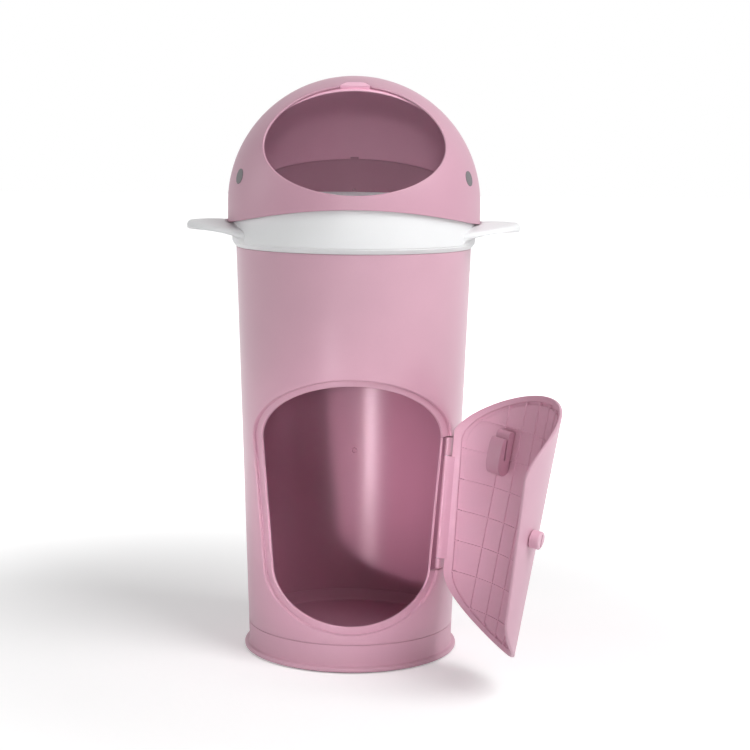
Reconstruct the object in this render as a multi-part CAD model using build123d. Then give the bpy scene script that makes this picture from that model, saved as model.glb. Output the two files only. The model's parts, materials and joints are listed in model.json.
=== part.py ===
from build123d import *
import os
from math import asin, atan, cos, degrees, radians, sin, sqrt

os.makedirs("parts", exist_ok=True)

# Diaper pail: a tapered body with a front door, a turning ring with two wing handles, and a lift-off dome
# Millimetres, Z up, the front towards -Y, the origin on the floor under the middle of the body.
# Azimuths are degrees from the front towards +X. An inset is a distance below the body's outer surface.

# Body tube
foot_radius = 109.0  # of the cone's outer surface at the floor
rim_radius = 124.04
rim_height = 432.2
wall = 2.6
seam_height = 29.0  # where the base tray ends and the tube begins
seam_gap = 0.4

# Base tray
flange_radius = 114.3
flange_bottom = 1.3
flange_top = 6.0
floor_top = 20.0
floor_thickness = 2.5
shelf_inner = 99.5  # a shelf round the hollow under the floor, which the screw heads are sunk in
shelf_bottom = 12.0
flange_round = 2.0
skirt_rise = 1.5  # of the slope between the flange and the tray's wall
upstand_height = 4.0
upstand_thickness = 1.2
slide_gap = 0.3  # between pieces that meet loosely
foot_ring_outer = 110.0
foot_ring_inner = 104.0
foot_ring_top = 2.2
base_screw_azimuths = (-90.0, -25.0, 25.0, 90.0)
boss_radius = 5.0
boss_circle_radius = 103.8
boss_top = 46.0
base_screw_grip = 8.0
weld = 0.3  # how far a raised feature sinks into what carries it

# Gate mark on the inside of the back wall
gate_height = 192.0
gate_offset = 2.6  # to the right of the middle
gate_radius = 3.5
gate_relief = 0.5
gate_dimple_radius = 0.8

# Door outline, seen from the front: half an ellipse above, half an ellipse below, straight sides between
door_top_centre = 238.0
door_top_half_width = 103.3
door_top_rise = 67.4
door_bottom_centre = 103.5
door_bottom_half_width = 91.6
door_bottom_drop = 63.8
seat_width = 6.4
sill_width = 8.2
seat_depth = 3.6
seat_thickness = 2.6
frame_width = 2.8
door_gap = 1.1
door_wall = 3.0

# Door's inner face
rib_heights = (66.6, 99.8, 132.0, 164.0, 196.5, 229.0, 262.0)
rib_pitch_across = 20.5
ribs_each_side = 3
rib_width = 1.0
rib_relief = 0.8
groove_outset = 0.8  # of the groove's outer edge inside the opening
groove_width = 3.8
groove_depth = 1.2

# Hinge: its line leans with the side of the body
hinge_depth = 3.3
hinge_inset_top = 2.6
hinge_inset_bottom = 0.1
barrel_radius = 3.2
barrel_bottom = 110.6
barrel_top = 218.4
lower_ear_bottom = 100.0
upper_ear_top = 237.5
ear_gap = 0.6
ear_web = 9.0
slot_bottom = 98.0
slot_top = 238.0
lip_width = 1.2  # of the seat's strip between the slot and the opening, seen from the front
slot_relief = 4.95
ear_clearance = 5.4  # how far the panel stays from the hinge line beside the ears
corner_relief_start = 64.0  # the panel's corners on the hinge side are thinned beyond this X, to swing clear
corner_relief_depth = 0.9
corner_relief_width = 4.2
pin_radius = 1.5
pin_depth_in_barrel = 12.0
bore_clearance = 0.05
door_open_angle = 107.15

# Knob and latch
knob_azimuth = -44.0
knob_height = 179.5
knob_radius = 8.9
knob_proud = 10.5
knob_gap = 0.9
knob_round = 1.8
coin_slot_width = 2.2
coin_slot_length = 12.5
coin_slot_depth = 1.6
shaft_radius = 3.2
tongue_depth = 9.4
tongue_thickness = 2.0
tongue_length = 21.5
tongue_width = 8.0
tongue_corner = 3.8
hub_radius = 5.0
latch_screw_depth = 8.0
latch_frame_azimuths = (-50.0, -35.0)
latch_frame_heights = (148.0, 212.0)
latch_frame_wall = 1.6
latch_frame_relief = 4.2
latch_frame_gap = (170.0, 189.0)

# Film cutter on the door's inner face; its profile is drawn as height off the face and height above the floor
cutter_azimuth = 27.4
cutter_width = 17.0
cutter_base_width = 11.0
cutter_base_height = 5.0
cutter_bottom = 216.0
cutter_top = 259.0
cutter_base_inset = 1.5
cutter_base_sink = 2.0
cutter_chin = ((5.0, 216.0), (11.7, 213.0), (17.7, 217.0))  # three points on each arc of the hook's edge
cutter_back = ((17.7, 217.0), (21.5, 228.5), (20.0, 242.0))
cutter_shoulder = ((20.0, 242.0), (19.1, 247.5), (17.0, 251.2))
cutter_tip = ((17.0, 251.2), (15.3, 251.4), (14.5, 249.5))
cutter_slot_end = ((14.5, 230.25), (13.25, 229.0), (12.0, 230.25))
cutter_crown = ((12.0, 253.5), (10.0, 257.6), (7.0, 259.0))
blade_thickness = 0.5
blade_edge = ((10.4, 228.0), (16.1, 228.0), (16.1, 231.5), (10.4, 237.0))
peg_radius = 1.6
peg_depth = 1.6
peg_heights = (222.0, 252.0)

# Twist ring
band_radius = 128.3
band_wall = 2.6
band_bottom = 438.0
band_top = 478.5
lip_radius = 124.1
lip_bottom = 432.5
lip_chamfer = 0.6
band_chamfer = 1.2
collar_outer = 124.0
collar_inner = 121.4
collar_top = 485.0
web_bottom = 433.0
web_top = 436.0
spigot_outer = 116.9
spigot_inner = 112.0
spigot_bottom = 415.5
seam_groove = 0.8
seam_groove_height = 0.5
collar_root = 5.0  # how far the collar reaches down inside the band
web_rise = 3.0
collar_notch_half = 34.0
collar_notch_bottom = 464.0
key_notch_width = 3.8

# Wings of the twist ring
wing_centre = 113.5
wing_radius = 62.5
wing_crown_x = 148.0
wing_crown_top = 460.2
wing_crown_radius = 262.0
wing_under_x = 160.0
wing_under_top = 450.5
wing_under_radius = 139.0
wing_top_round = 4.5
wing_under_round = 2.0
wing_dome_gap = 0.5

# What carries the ring on the body
body_rib_inner = 117.5
body_rib_bottom = 417.0
body_rib_top = 421.0
glide_inner = 117.6
glide_clearance = 0.15
retainer_inner = 108.0
retainer_outer = 120.0
retainer_thickness = 3.0
retainer_screw_count = 6
retainer_screw_grip = 9.0

# Throat funnel
funnel_outer = 120.8
funnel_bore = 80.0
funnel_wall = 2.4
funnel_tube_bottom = 402.0
funnel_tube_top = 452.0
funnel_lip = 5.0
funnel_screw_count = 4
funnel_screw_circle = 117.4

# Grip ring with soft fingers
grip_rib_inner = 113.0
grip_rib_bottom = 380.0
grip_rib_thickness = 3.0
grip_inner = 100.0
grip_thickness = 2.4
grip_screw_count = 4
grip_screw_inset = 3.5
finger_count = 8
finger_tip_radius = 36.0
finger_droop = 26.0
finger_thickness = 1.8
finger_gap = 7.0  # degrees between two fingers
finger_lap = 1.0  # of each finger's root over the hoop

# Screws
screw_shank_radius = 1.25
screw_head_radius = 2.6
screw_head_height = 1.6
screw_slot_width = 0.6
screw_slot_depth = 0.6
screw_tip_gap = 0.4  # between a screw's tip and the far face of what it holds in

# Dome
dome_radius = 132.8
dome_wall = 2.6
dome_centre = 477.5
arch_top = 476.6
arch_side = 457.5  # height of the lower edge at the left and right
mouth_tilt = 16.0
mouth_shift = 39.7
mouth_half_width = 92.6
mouth_half_height = 63.2
mouth_round = 1.0
recess_half_width = 17.0
recess_inner_half_width = 10.0
recess_depth = 5.4
recess_lap = 6.0  # of the recess over the mouth's edge
recess_shoulder = 1.0
recess_round = 2.4
ledge_inner = 124.4
ledge_bottom = 478.8
ledge_thickness = 2.2
ledge_half_angle = 50.0
key_width = 3.0
key_inner = 122.9
key_top = 488.0
stub_radius = 4.0
stub_end = 126.7
stub_screw_reach = 3.0
washer_radius = 6.0
washer_thickness = 0.8

# Discs pressed into the dome
disc_azimuth = 64.8
disc_height = 506.5
disc_radius = 7.9
disc_recess = 0.9
disc_proud = 0.4
disc_stem_radius = 4.0

# Shutter
shutter_outer = 129.6
shutter_wall = 2.2
shutter_front = 65.0  # elevations, from the front horizon over the top
shutter_rear = 160.0
shutter_ear_radius = 9.0
shutter_play = 0.1
tab_gap = 0.7  # between the tab and the recess that it fills
tab_front = 66.6
tab_rear = 70.0
tab_radius = 133.6
rear_notch_width = 9.0
rear_notch_depth = 2.8

STANDING = (Align.CENTER, Align.CENTER, Align.MIN)
FAR = 700.0  # longer than the pail
hinge_reach = 4 * seat_width  # past everything beside the hinge line


# Shapes that many pieces share


def body_radius(z):
    return foot_radius + (rim_radius - foot_radius) * z / rim_height


def cone(z0, z1, inset):
    return Pos(0, 0, z0) * Cone(body_radius(z0) - inset, body_radius(z1) - inset, z1 - z0, align=STANDING)


def layer(z0, z1, outer_inset, inner_inset):
    return cone(z0, z1, outer_inset) - cone(z0, z1, inner_inset)


def disc(radius, z0, z1):
    return Pos(0, 0, z0) * Cylinder(radius, z1 - z0, align=STANDING)


def ring(outer, inner, z0, z1):
    return disc(outer, z0, z1) - disc(inner, z0, z1)


def outward(azimuth):
    return Vector(sin(radians(azimuth)), -cos(radians(azimuth)), 0)


def sector(azimuth0, azimuth1, z0, z1):
    first = outward(azimuth0) * FAR
    last = outward(azimuth1) * FAR
    corners = [(0, 0), (first.X, first.Y), (last.X, last.Y)]
    return Pos(0, 0, z0) * extrude(Polygon(*corners, align=None), amount=z1 - z0)


def round_about(count, radius, z, first=0.0):
    return [Rot(0, 0, first + 360 / count * i) * Pos(radius, 0, z) for i in range(count)]


def screw(length):
    shank = Pos(0, 0, -length) * Cylinder(screw_shank_radius, length, align=STANDING)
    head = Cylinder(screw_head_radius, screw_head_height, align=STANDING)
    slot = Pos(0, 0, screw_head_height) * Box(
        2 * screw_head_radius, screw_slot_width, 2 * screw_slot_depth
    )
    return shank + head - slot


def screw_hole(length):
    return Pos(0, 0, -length) * Cylinder(screw_shank_radius, length, align=STANDING)


def one_solid(shape):
    return max(shape.solids(), key=lambda s: s.volume)


# Door outline and hinge line


def point_at_x(x, z, inset):
    radius = body_radius(z) - inset
    return Vector(x, -sqrt(radius**2 - x**2), z)


def side_plane(inset, side):
    high = point_at_x(door_top_half_width - inset, door_top_centre, 0)
    low = point_at_x(door_bottom_half_width - inset, door_bottom_centre, 0)
    normal = (high - low).cross(Vector(high.X, high.Y, 0))
    return Plane(
        origin=(side * high.X, high.Y, high.Z),
        z_dir=(side * normal.X, normal.Y, normal.Z),
    )


def door_prism(inset, sill_inset=None):
    sill = inset if sill_inset is None else sill_inset
    with BuildSketch(Plane.XZ) as outline:
        with BuildLine():
            top = EllipticalCenterArc(
                (0, door_top_centre), door_top_half_width - inset, door_top_rise - inset, 0, arc_size=180
            )
            low_centre = (0, door_bottom_centre)
            low_half_width = door_bottom_half_width - inset
            bottom = EllipticalCenterArc(low_centre, low_half_width, door_bottom_drop - sill, 180, arc_size=180)
            Line(top @ 1, bottom @ 0)
            Line(bottom @ 1, top @ 0)
        make_face()
    prism = extrude(outline.sketch, amount=FAR)
    for side in (-1, 1):
        prism = split(prism, bisect_by=side_plane(inset, side), keep=Keep.BOTTOM)
    return prism


hinge_low = point_at_x(door_bottom_half_width - hinge_inset_bottom, door_bottom_centre, hinge_depth)
hinge_high = point_at_x(door_top_half_width - hinge_inset_top, door_top_centre, hinge_depth)
hinge_up = (hinge_high - hinge_low).normalized()
hinge_frame = Plane(origin=hinge_low, x_dir=Vector(hinge_low.X, hinge_low.Y, 0), z_dir=hinge_up)
hinge_axis = Axis(hinge_low, hinge_up)


def along_hinge(z):
    return (z - hinge_low.Z) / hinge_up.Z


def hinge_box(start, end, z0, z1):
    bottom = along_hinge(z0)
    block = Box(hinge_reach, end - start, along_hinge(z1) - bottom, align=(Align.CENTER, Align.MIN, Align.MIN))
    return hinge_frame * Pos(0, start, bottom) * block


def hinge_rod(radius, z0, z1):
    bottom = along_hinge(z0)
    return hinge_frame * Pos(0, 0, bottom) * Cylinder(radius, along_hinge(z1) - bottom, align=STANDING)


door_floor = door_bottom_centre - door_bottom_drop - frame_width
door_ceiling = door_top_centre + door_top_rise + frame_width
upper_pin_bottom = barrel_top - pin_depth_in_barrel
lower_pin_top = barrel_bottom + pin_depth_in_barrel

# Places of the fasteners
boss_joint = seam_height + upstand_height + seam_gap
floor_bottom = floor_top - floor_thickness
base_screw_length = boss_joint - floor_bottom + base_screw_grip
base_screw_places = [
    Pos(*(outward(a) * boss_circle_radius + Vector(0, 0, floor_bottom))) * Rot(180, 0, 0)
    for a in base_screw_azimuths
]
retainer_bottom = spigot_bottom - retainer_thickness
retainer_screw_circle = (spigot_inner + spigot_outer) / 2
retainer_screw_length = retainer_thickness + retainer_screw_grip
upright_places = round_about(retainer_screw_count, retainer_screw_circle, retainer_bottom)
retainer_screw_places = [place * Rot(180, 0, 0) for place in upright_places]
funnel_floor_top = web_top + funnel_wall
funnel_screw_length = funnel_floor_top - web_bottom - screw_tip_gap
funnel_screw_places = round_about(funnel_screw_count, funnel_screw_circle, funnel_floor_top, 45.0)
grip_rib_top = grip_rib_bottom + grip_rib_thickness
grip_outer = body_radius(grip_rib_top) - wall - slide_gap
grip_top = grip_rib_top + grip_thickness
grip_screw_circle = grip_rib_inner + grip_screw_inset
grip_screw_length = grip_thickness + grip_rib_thickness - screw_tip_gap
grip_screw_places = round_about(grip_screw_count, grip_screw_circle, grip_top, 45.0)


# Body


def door_frame():
    thick = layer(door_floor, door_ceiling, 0, seat_depth + seat_thickness)
    return thick & door_prism(-frame_width)


def door_pocket():
    return door_prism(0) - cone(door_floor, door_ceiling, seat_depth)


def body_bosses():
    bosses = []
    for azimuth in base_screw_azimuths:
        place = Pos(*(outward(azimuth) * boss_circle_radius + Vector(0, 0, boss_joint)))
        boss = place * Cylinder(boss_radius, boss_top - boss_joint, align=STANDING)
        bosses.append(boss & cone(boss_joint, boss_top, wall / 2))
    return bosses


def inner_rib(inner_radius, z0, z1):
    return cone(z0, z1, wall / 2) - disc(inner_radius, z0, z1)


def gate_mark():
    centre = Vector(gate_offset, body_radius(gate_height) - wall + weld, gate_height)
    mark = Pos(*centre) * Rot(90, 0, 0) * Cylinder(gate_radius, gate_relief + weld, align=STANDING)
    dimple = Pos(*centre) * Rot(90, 0, 0) * Cylinder(gate_dimple_radius, 4 * gate_relief, align=STANDING)
    return mark - dimple


def ear(z0, z1):
    web = hinge_box(0, ear_web, z0, z1) & layer(door_floor, door_ceiling, 0, hinge_depth + barrel_radius)
    knuckle = hinge_rod(barrel_radius, z0, z1) & cone(door_floor, door_ceiling, 0)
    return web + knuckle


def make_body_shell():
    shell = layer(seam_height + seam_gap, rim_height, 0, wall)
    shell += door_frame()
    shell -= door_pocket()
    shell -= door_prism(seat_width, sill_width)
    shell -= hinge_box(-hinge_reach, slot_relief, slot_bottom, slot_top) - door_prism(seat_width - lip_width)
    shell += ear(barrel_top + ear_gap, upper_ear_top)
    shell += ear(lower_ear_bottom, barrel_bottom - ear_gap)
    shell -= hinge_rod(pin_radius, lower_ear_bottom - 1, upper_ear_top + 1)
    shell += inner_rib(body_rib_inner, body_rib_bottom, body_rib_top)
    shell += inner_rib(grip_rib_inner, grip_rib_bottom, grip_rib_top)
    shell += body_bosses()
    shell += gate_mark()
    for place in base_screw_places:
        shell -= place * screw_hole(base_screw_length)
    for place in grip_screw_places:
        shell -= place * screw_hole(grip_screw_length)
    return one_solid(shell)


def make_base_tray():
    skirt_foot = flange_top + skirt_rise
    with BuildSketch(Plane.XZ) as profile:
        with BuildLine():
            Polyline(
                (foot_ring_inner, flange_bottom),
                (flange_radius - flange_round, flange_bottom),
            )
            ThreePointArc(
                (flange_radius - flange_round, flange_bottom),
                (flange_radius, (flange_bottom + flange_top) / 2),
                (flange_radius - flange_round, flange_top),
            )
            Polyline(
                (flange_radius - flange_round, flange_top),
                (body_radius(skirt_foot), skirt_foot),
                (body_radius(seam_height), seam_height),
                (body_radius(seam_height) - wall - slide_gap, seam_height),
                (body_radius(boss_joint) - wall - slide_gap, boss_joint - seam_gap),
                (body_radius(boss_joint) - wall - slide_gap - upstand_thickness, boss_joint - seam_gap),
                (body_radius(seam_height) - 2 * wall, floor_top),
                (0, floor_top),
                (0, floor_bottom),
                (shelf_inner, floor_bottom),
                (shelf_inner, shelf_bottom),
                (foot_ring_inner, shelf_bottom),
                (foot_ring_inner, flange_bottom),
            )
        make_face()
    tray = revolve(profile.sketch, Axis.Z)
    inside = cone(floor_bottom, boss_joint, wall + slide_gap)
    for azimuth in base_screw_azimuths:
        place = Pos(*(outward(azimuth) * boss_circle_radius + Vector(0, 0, floor_bottom)))
        column = place * Cylinder(boss_radius, boss_joint - floor_bottom, align=STANDING)
        tray += column & inside
    tray -= ring(foot_ring_outer, foot_ring_inner - 1, flange_bottom - 1, foot_ring_top)
    for place in base_screw_places:
        tray -= place * screw_hole(base_screw_length)
        tray -= place * Cylinder(screw_head_radius + slide_gap, FAR / 4, align=STANDING)
    return one_solid(tray)


def make_anti_slip_ring():
    return ring(foot_ring_outer, foot_ring_inner, 0, foot_ring_top)


def make_screws(places, length):
    return Compound(children=[place * screw(length) for place in places])


def make_upper_pin():
    return hinge_rod(pin_radius, upper_pin_bottom, upper_ear_top)


def make_lower_pin():
    return hinge_rod(pin_radius, lower_ear_bottom, lower_pin_top)


def make_glide_ring():
    outer = body_radius(body_rib_top) - wall - glide_clearance
    return ring(outer, glide_inner, body_rib_top, web_bottom - slide_gap)


def finger():
    half = 180 / finger_count - finger_gap / 2
    root = (grip_inner + finger_lap) * radians(half)
    tip = finger_tip_radius * radians(half)
    reach = (grip_inner + finger_lap - finger_tip_radius) / cos(radians(finger_droop))
    blade = Polygon((0, -root), (reach, -tip), (reach, tip), (0, root), align=None)
    blade = fillet(blade.vertices().sort_by(Axis.X)[-2:], tip / 2)
    plate = extrude(blade, amount=finger_thickness)
    return Pos(grip_inner + finger_lap, 0, grip_rib_top) * Rot(0, 0, 180) * Rot(0, finger_droop, 0) * plate


def make_grip_ring():
    hoop = ring(grip_outer, grip_inner, grip_rib_top, grip_top)
    for i in range(finger_count):
        hoop += Rot(0, 0, (i + 0.5) * 360 / finger_count) * finger()
    for place in grip_screw_places:
        hoop -= place * screw_hole(grip_screw_length)
    return one_solid(hoop)


# Door, built closed


def swung_open(shape):
    return shape.rotate(hinge_axis, door_open_angle)


def knob_frame(inset):
    lean = atan((rim_radius - foot_radius) / rim_height)
    out = outward(knob_azimuth) * cos(lean) + Vector(0, 0, -sin(lean))
    surface = outward(knob_azimuth) * body_radius(knob_height) + Vector(0, 0, knob_height)
    return Plane(origin=surface - out * inset, x_dir=(0, 0, 1), z_dir=out)


def cutter_frame():
    out = outward(cutter_azimuth)
    base = out * (body_radius((cutter_bottom + cutter_top) / 2) - door_wall)
    return Plane(origin=base, x_dir=-out, z_dir=Vector(0, 0, 1).cross(out))


def cutter_peg(height):
    across = cutter_frame() * Pos(-peg_depth, height, 0) * Rot(0, 90, 0)
    return across * Cylinder(peg_radius, peg_depth + cutter_base_height, align=STANDING)


def door_ribs():
    face = layer(door_floor, door_ceiling, door_wall - groove_depth - weld, door_wall + rib_relief)
    field = door_prism(seat_width + groove_outset, sill_width + groove_outset)
    bars = [Pos(0, 0, z) * Box(FAR, FAR, rib_width) for z in rib_heights]
    for i in range(-ribs_each_side, ribs_each_side + 1):
        bars.append(Pos(i * rib_pitch_across, 0, FAR / 2) * Box(rib_width, FAR, FAR))
    strips = face & field
    return [strips & bar for bar in bars]


def latch_frame():
    first, last = latch_frame_azimuths
    low, high = latch_frame_heights
    turn = degrees(latch_frame_wall / body_radius(knob_height))
    relief = layer(low, high, door_wall / 2, door_wall + latch_frame_relief)
    walls = sector(first, last, low, high)
    walls -= sector(first + turn, last - turn, low + latch_frame_wall, high - latch_frame_wall)
    walls -= sector(first - 1, first + turn + 1, *latch_frame_gap)
    return relief & walls


def corner_relief():
    rim = cone(door_floor, door_ceiling, corner_relief_depth) - door_prism(corner_relief_width)
    reliefs = []
    door_foot = door_bottom_centre - door_bottom_drop
    for z, height in ((door_top_centre, door_top_rise), (door_foot, door_bottom_drop)):
        corner = Box(FAR, FAR, height, align=(Align.MIN, Align.CENTER, Align.MIN))
        reliefs.append(rim & Pos(corner_relief_start, 0, z) * corner)
    return reliefs


def make_door_panel():
    panel = layer(door_floor, door_ceiling, 0, door_wall) & door_prism(door_gap)
    for relief in corner_relief():
        panel -= relief
    groove = door_prism(seat_width + groove_outset, sill_width + groove_outset)
    groove -= door_prism(seat_width + groove_outset + groove_width, sill_width + groove_outset + groove_width)
    panel -= groove & cone(door_floor, door_ceiling, door_wall - groove_depth)
    panel += door_ribs()
    panel -= hinge_box(0, hinge_reach, 0, FAR)
    panel -= hinge_box(-ear_clearance, hinge_reach, barrel_top, FAR)
    panel -= hinge_box(-ear_clearance, hinge_reach, 0, barrel_bottom)
    panel += hinge_rod(barrel_radius, barrel_bottom, barrel_top)
    panel += latch_frame()
    panel -= hinge_rod(pin_radius + bore_clearance, barrel_bottom - 1, barrel_top + 1)
    panel -= knob_frame(0) * Cylinder(shaft_radius + bore_clearance, 6 * door_wall)
    for height in peg_heights:
        panel -= cutter_peg(height)
    return one_solid(panel)


def cutter_profile():
    with BuildSketch() as profile:
        with BuildLine():
            for arc in (cutter_chin, cutter_back, cutter_shoulder, cutter_tip, cutter_slot_end, cutter_crown):
                ThreePointArc(*arc)
            Line(cutter_tip[-1], cutter_slot_end[0])
            Line(cutter_slot_end[-1], cutter_crown[0])
            Line(cutter_crown[-1], (cutter_base_height, cutter_top))
            Line((cutter_base_height, cutter_top), cutter_chin[0])
        make_face()
    return profile.sketch


def blade_plate():
    return extrude(Polygon(*blade_edge, align=None), amount=blade_thickness / 2, both=True)


def make_cutter_body(panel):
    hook = extrude(cutter_profile(), amount=cutter_width / 2, both=True)
    base = Pos(-cutter_base_sink, cutter_bottom + cutter_base_inset, 0) * Box(
        cutter_base_height + cutter_base_sink + weld,
        cutter_top - cutter_bottom - 2 * cutter_base_inset,
        cutter_base_width,
        align=(Align.MIN, Align.MIN, Align.CENTER),
    )
    body = cutter_frame() * (hook + base - blade_plate())
    body &= cone(door_floor, door_ceiling, door_wall)
    for height in peg_heights:
        body += cutter_peg(height)
    return one_solid(body - panel)


def make_cutter_blade():
    return cutter_frame() * blade_plate()


def make_knob():
    cap = Pos(0, 0, knob_gap) * Cylinder(knob_radius, knob_proud - knob_gap, align=STANDING)
    cap = fillet(cap.edges().filter_by(GeomType.CIRCLE).sort_by(Axis.Z)[-1], knob_round)
    shaft = Pos(0, 0, -tongue_depth) * Cylinder(shaft_radius, tongue_depth + knob_gap + 1, align=STANDING)
    coin_slot = Pos(0, 0, knob_proud) * Box(coin_slot_length, coin_slot_width, 2 * coin_slot_depth)
    screw_bore = Pos(0, 0, -tongue_depth) * Rot(180, 0, 0) * screw_hole(latch_screw_depth)
    return knob_frame(0) * (cap + shaft - coin_slot - screw_bore)


def make_latch_tongue():
    plate = Pos(0, 0, -tongue_depth - tongue_thickness) * Box(
        tongue_length, tongue_width, tongue_thickness, align=(Align.MIN, Align.CENTER, Align.MIN)
    )
    plate = fillet(plate.edges().filter_by(Axis.Z).sort_by(Axis.X)[-2:], tongue_corner)
    hub = Pos(0, 0, -tongue_depth - tongue_thickness) * Cylinder(hub_radius, tongue_thickness, align=STANDING)
    bore = Pos(0, 0, -tongue_depth - 2 * tongue_thickness) * Cylinder(
        screw_shank_radius, 4 * tongue_thickness, align=STANDING
    )
    return one_solid(knob_frame(0) * (plate + hub - bore))


def make_latch_screw():
    return knob_frame(0) * Pos(0, 0, -tongue_depth - tongue_thickness) * Rot(180, 0, 0) * screw(
        tongue_thickness + latch_screw_depth
    )


# Twist ring and what turns with it


def twist_ring_profile():
    inner = band_radius - band_wall
    lip_inner = body_radius(rim_height) - wall
    with BuildSketch(Plane.XZ) as profile:
        with BuildLine():
            Polyline(
                (lip_inner, lip_bottom),
                (lip_radius, lip_bottom),
                (lip_radius + lip_chamfer, lip_bottom + lip_chamfer),
                (band_radius - lip_chamfer, band_bottom - seam_groove),
                (band_radius - seam_groove, band_bottom - seam_groove_height),
                (band_radius - seam_groove, band_bottom),
                (band_radius, band_bottom + slide_gap),
                (band_radius, band_top - band_chamfer),
                (band_radius - band_chamfer, band_top),
                (collar_outer, band_top),
                (collar_outer, collar_top),
                (collar_inner, collar_top),
                (collar_inner, band_top - collar_root),
                (inner, band_top - collar_root - (inner - collar_inner)),
                (inner, web_top + web_rise),
                (collar_inner, web_top),
                (spigot_inner, web_top),
                (spigot_inner, spigot_bottom),
                (spigot_outer, spigot_bottom),
                (spigot_outer, web_bottom),
                (lip_inner, web_bottom),
                close=True,
            )
        make_face()
    return profile.sketch


def wing_ball(radius):
    return Pos(wing_crown_x, 0, wing_crown_top - wing_crown_radius) * Rot(90, 0, 0) * Sphere(radius)


def wing_plan(radius):
    bottom = lip_bottom - wing_radius
    return Pos(wing_centre, 0, bottom) * Cylinder(radius, 3 * wing_radius, align=STANDING)


def wing_top():
    plate = one_solid(wing_plan(wing_radius) & wing_ball(wing_crown_radius))
    rim = plate.edges().sort_by(Axis.Z)[-1]
    return fillet(rim, wing_top_round)


def wing_bottom():
    under = Pos(wing_under_x, 0, wing_under_top - wing_under_radius) * Rot(90, 0, 0)
    plate = one_solid(wing_plan(wing_radius) - under * Cylinder(wing_under_radius, 2 * FAR))
    rim = plate.edges().filter_by(GeomType.BSPLINE)
    return fillet(rim, wing_under_round)


def wing(side):
    above = Pos(0, 0, lip_bottom) * Box(FAR, FAR, FAR, align=STANDING)
    plate = wing_top() & wing_bottom() & above
    plate -= disc(band_radius - band_wall / 2, lip_bottom - 1, 2 * FAR)
    plate -= ring(dome_radius + wing_dome_gap, collar_outer, arch_side - wing_dome_gap, 2 * FAR)
    plate = one_solid(plate)
    return plate if side > 0 else mirror(plate, Plane.YZ)


def make_twist_ring():
    hoop = revolve(twist_ring_profile(), Axis.Z)
    for side in (-1, 1):
        hoop += wing(side)
    # Each notch leaves room for a pivot of the shutter, and is open at the top so that the dome can lift off.
    notch = Box(FAR, 2 * collar_notch_half, FAR, align=STANDING)
    bore = disc(band_radius + 1, collar_notch_bottom, FAR * 2)
    hoop -= Pos(0, 0, collar_notch_bottom) * notch & bore
    key_notch = Box(key_notch_width, FAR, FAR, align=(Align.CENTER, Align.MIN, Align.MIN))
    hoop -= Pos(0, 0, band_top) * key_notch
    for place in retainer_screw_places:
        hoop -= place * screw_hole(retainer_screw_length)
    for place in funnel_screw_places:
        hoop -= place * screw_hole(funnel_screw_length)
    return one_solid(hoop)


def make_retainer_ring():
    hoop = ring(retainer_outer, retainer_inner, retainer_bottom, spigot_bottom)
    for place in retainer_screw_places:
        hoop -= place * screw_hole(retainer_screw_length)
    return one_solid(hoop)


def make_throat_funnel():
    outer = funnel_bore + funnel_wall
    tube = ring(outer, funnel_bore, funnel_tube_bottom, funnel_tube_top)
    plate = ring(funnel_outer, funnel_bore, web_top, funnel_floor_top)
    with BuildSketch(Plane.XZ) as lip:
        with Locations((funnel_bore + funnel_lip, funnel_tube_top)):
            Circle(funnel_lip)
            Circle(funnel_lip - funnel_wall, mode=Mode.SUBTRACT)
            Rectangle(FAR, FAR, align=(Align.CENTER, Align.MAX), mode=Mode.SUBTRACT)
    funnel = tube + plate + revolve(lip.sketch, Axis.Z)
    for place in funnel_screw_places:
        funnel -= place * screw_hole(funnel_screw_length)
    return one_solid(funnel)


# Dome, its discs and its shutter


def ball(radius):
    return Pos(0, 0, dome_centre) * Sphere(radius)


def bell(radius):
    skirt = disc(radius, arch_side - 10, dome_centre)
    return (ball(radius) & Pos(0, 0, dome_centre) * Box(FAR, FAR, FAR, align=STANDING)) + skirt


def arch():
    sag = arch_top - arch_side
    radius = (dome_radius**2 + sag**2) / (2 * sag)
    return Pos(0, 0, arch_top - radius) * Rot(90, 0, 0) * Cylinder(radius, FAR)


def mouth_frame():
    tilt = radians(mouth_tilt)
    return Plane(origin=(0, 0, dome_centre), x_dir=(1, 0, 0), z_dir=(0, -cos(tilt), sin(tilt)))


def mouth():
    outline = Pos(0, mouth_shift) * Ellipse(mouth_half_width, mouth_half_height)
    return extrude(mouth_frame() * outline, amount=FAR)


def thumb_recess(gap=0.0):
    # The notch in the mouth's upper edge, made smaller by a gap for the tab that fills it
    top = mouth_shift + mouth_half_height
    wide = recess_half_width - gap
    narrow = recess_inner_half_width - gap
    shape = Polygon(
        (-wide, top - recess_lap),
        (wide, top - recess_lap),
        (wide, top - recess_shoulder),
        (narrow, top + recess_depth - gap),
        (-narrow, top + recess_depth - gap),
        (-wide, top - recess_shoulder),
        align=None,
    )
    shape = fillet(shape.vertices().sort_by(Axis.Y)[-4:], recess_round)
    return extrude(mouth_frame() * shape, amount=FAR)


def disc_frame(side):
    azimuth = radians(disc_azimuth)
    rise = (disc_height - dome_centre) / dome_radius
    level = cos(asin(rise))
    out = (side * level * sin(azimuth), -level * cos(azimuth), rise)
    return Plane(origin=(0, 0, dome_centre), z_dir=out)


def ledges():
    bodies = []
    top = ledge_bottom + ledge_thickness
    for turn in (0, 180):
        half = ledge_half_angle
        hoop = ring(dome_radius - dome_wall / 2, ledge_inner, ledge_bottom, top)
        bodies.append(hoop & Rot(0, 0, turn) * sector(-half, half, ledge_bottom, top))
    return bodies


def dome_key():
    bottom = band_top + slide_gap
    rib = Box(key_width, FAR, key_top - bottom, align=(Align.CENTER, Align.MIN, Align.MIN))
    return Pos(0, 0, bottom) * rib & (bell(dome_radius - dome_wall / 2) - disc(key_inner, bottom, key_top))


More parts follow.
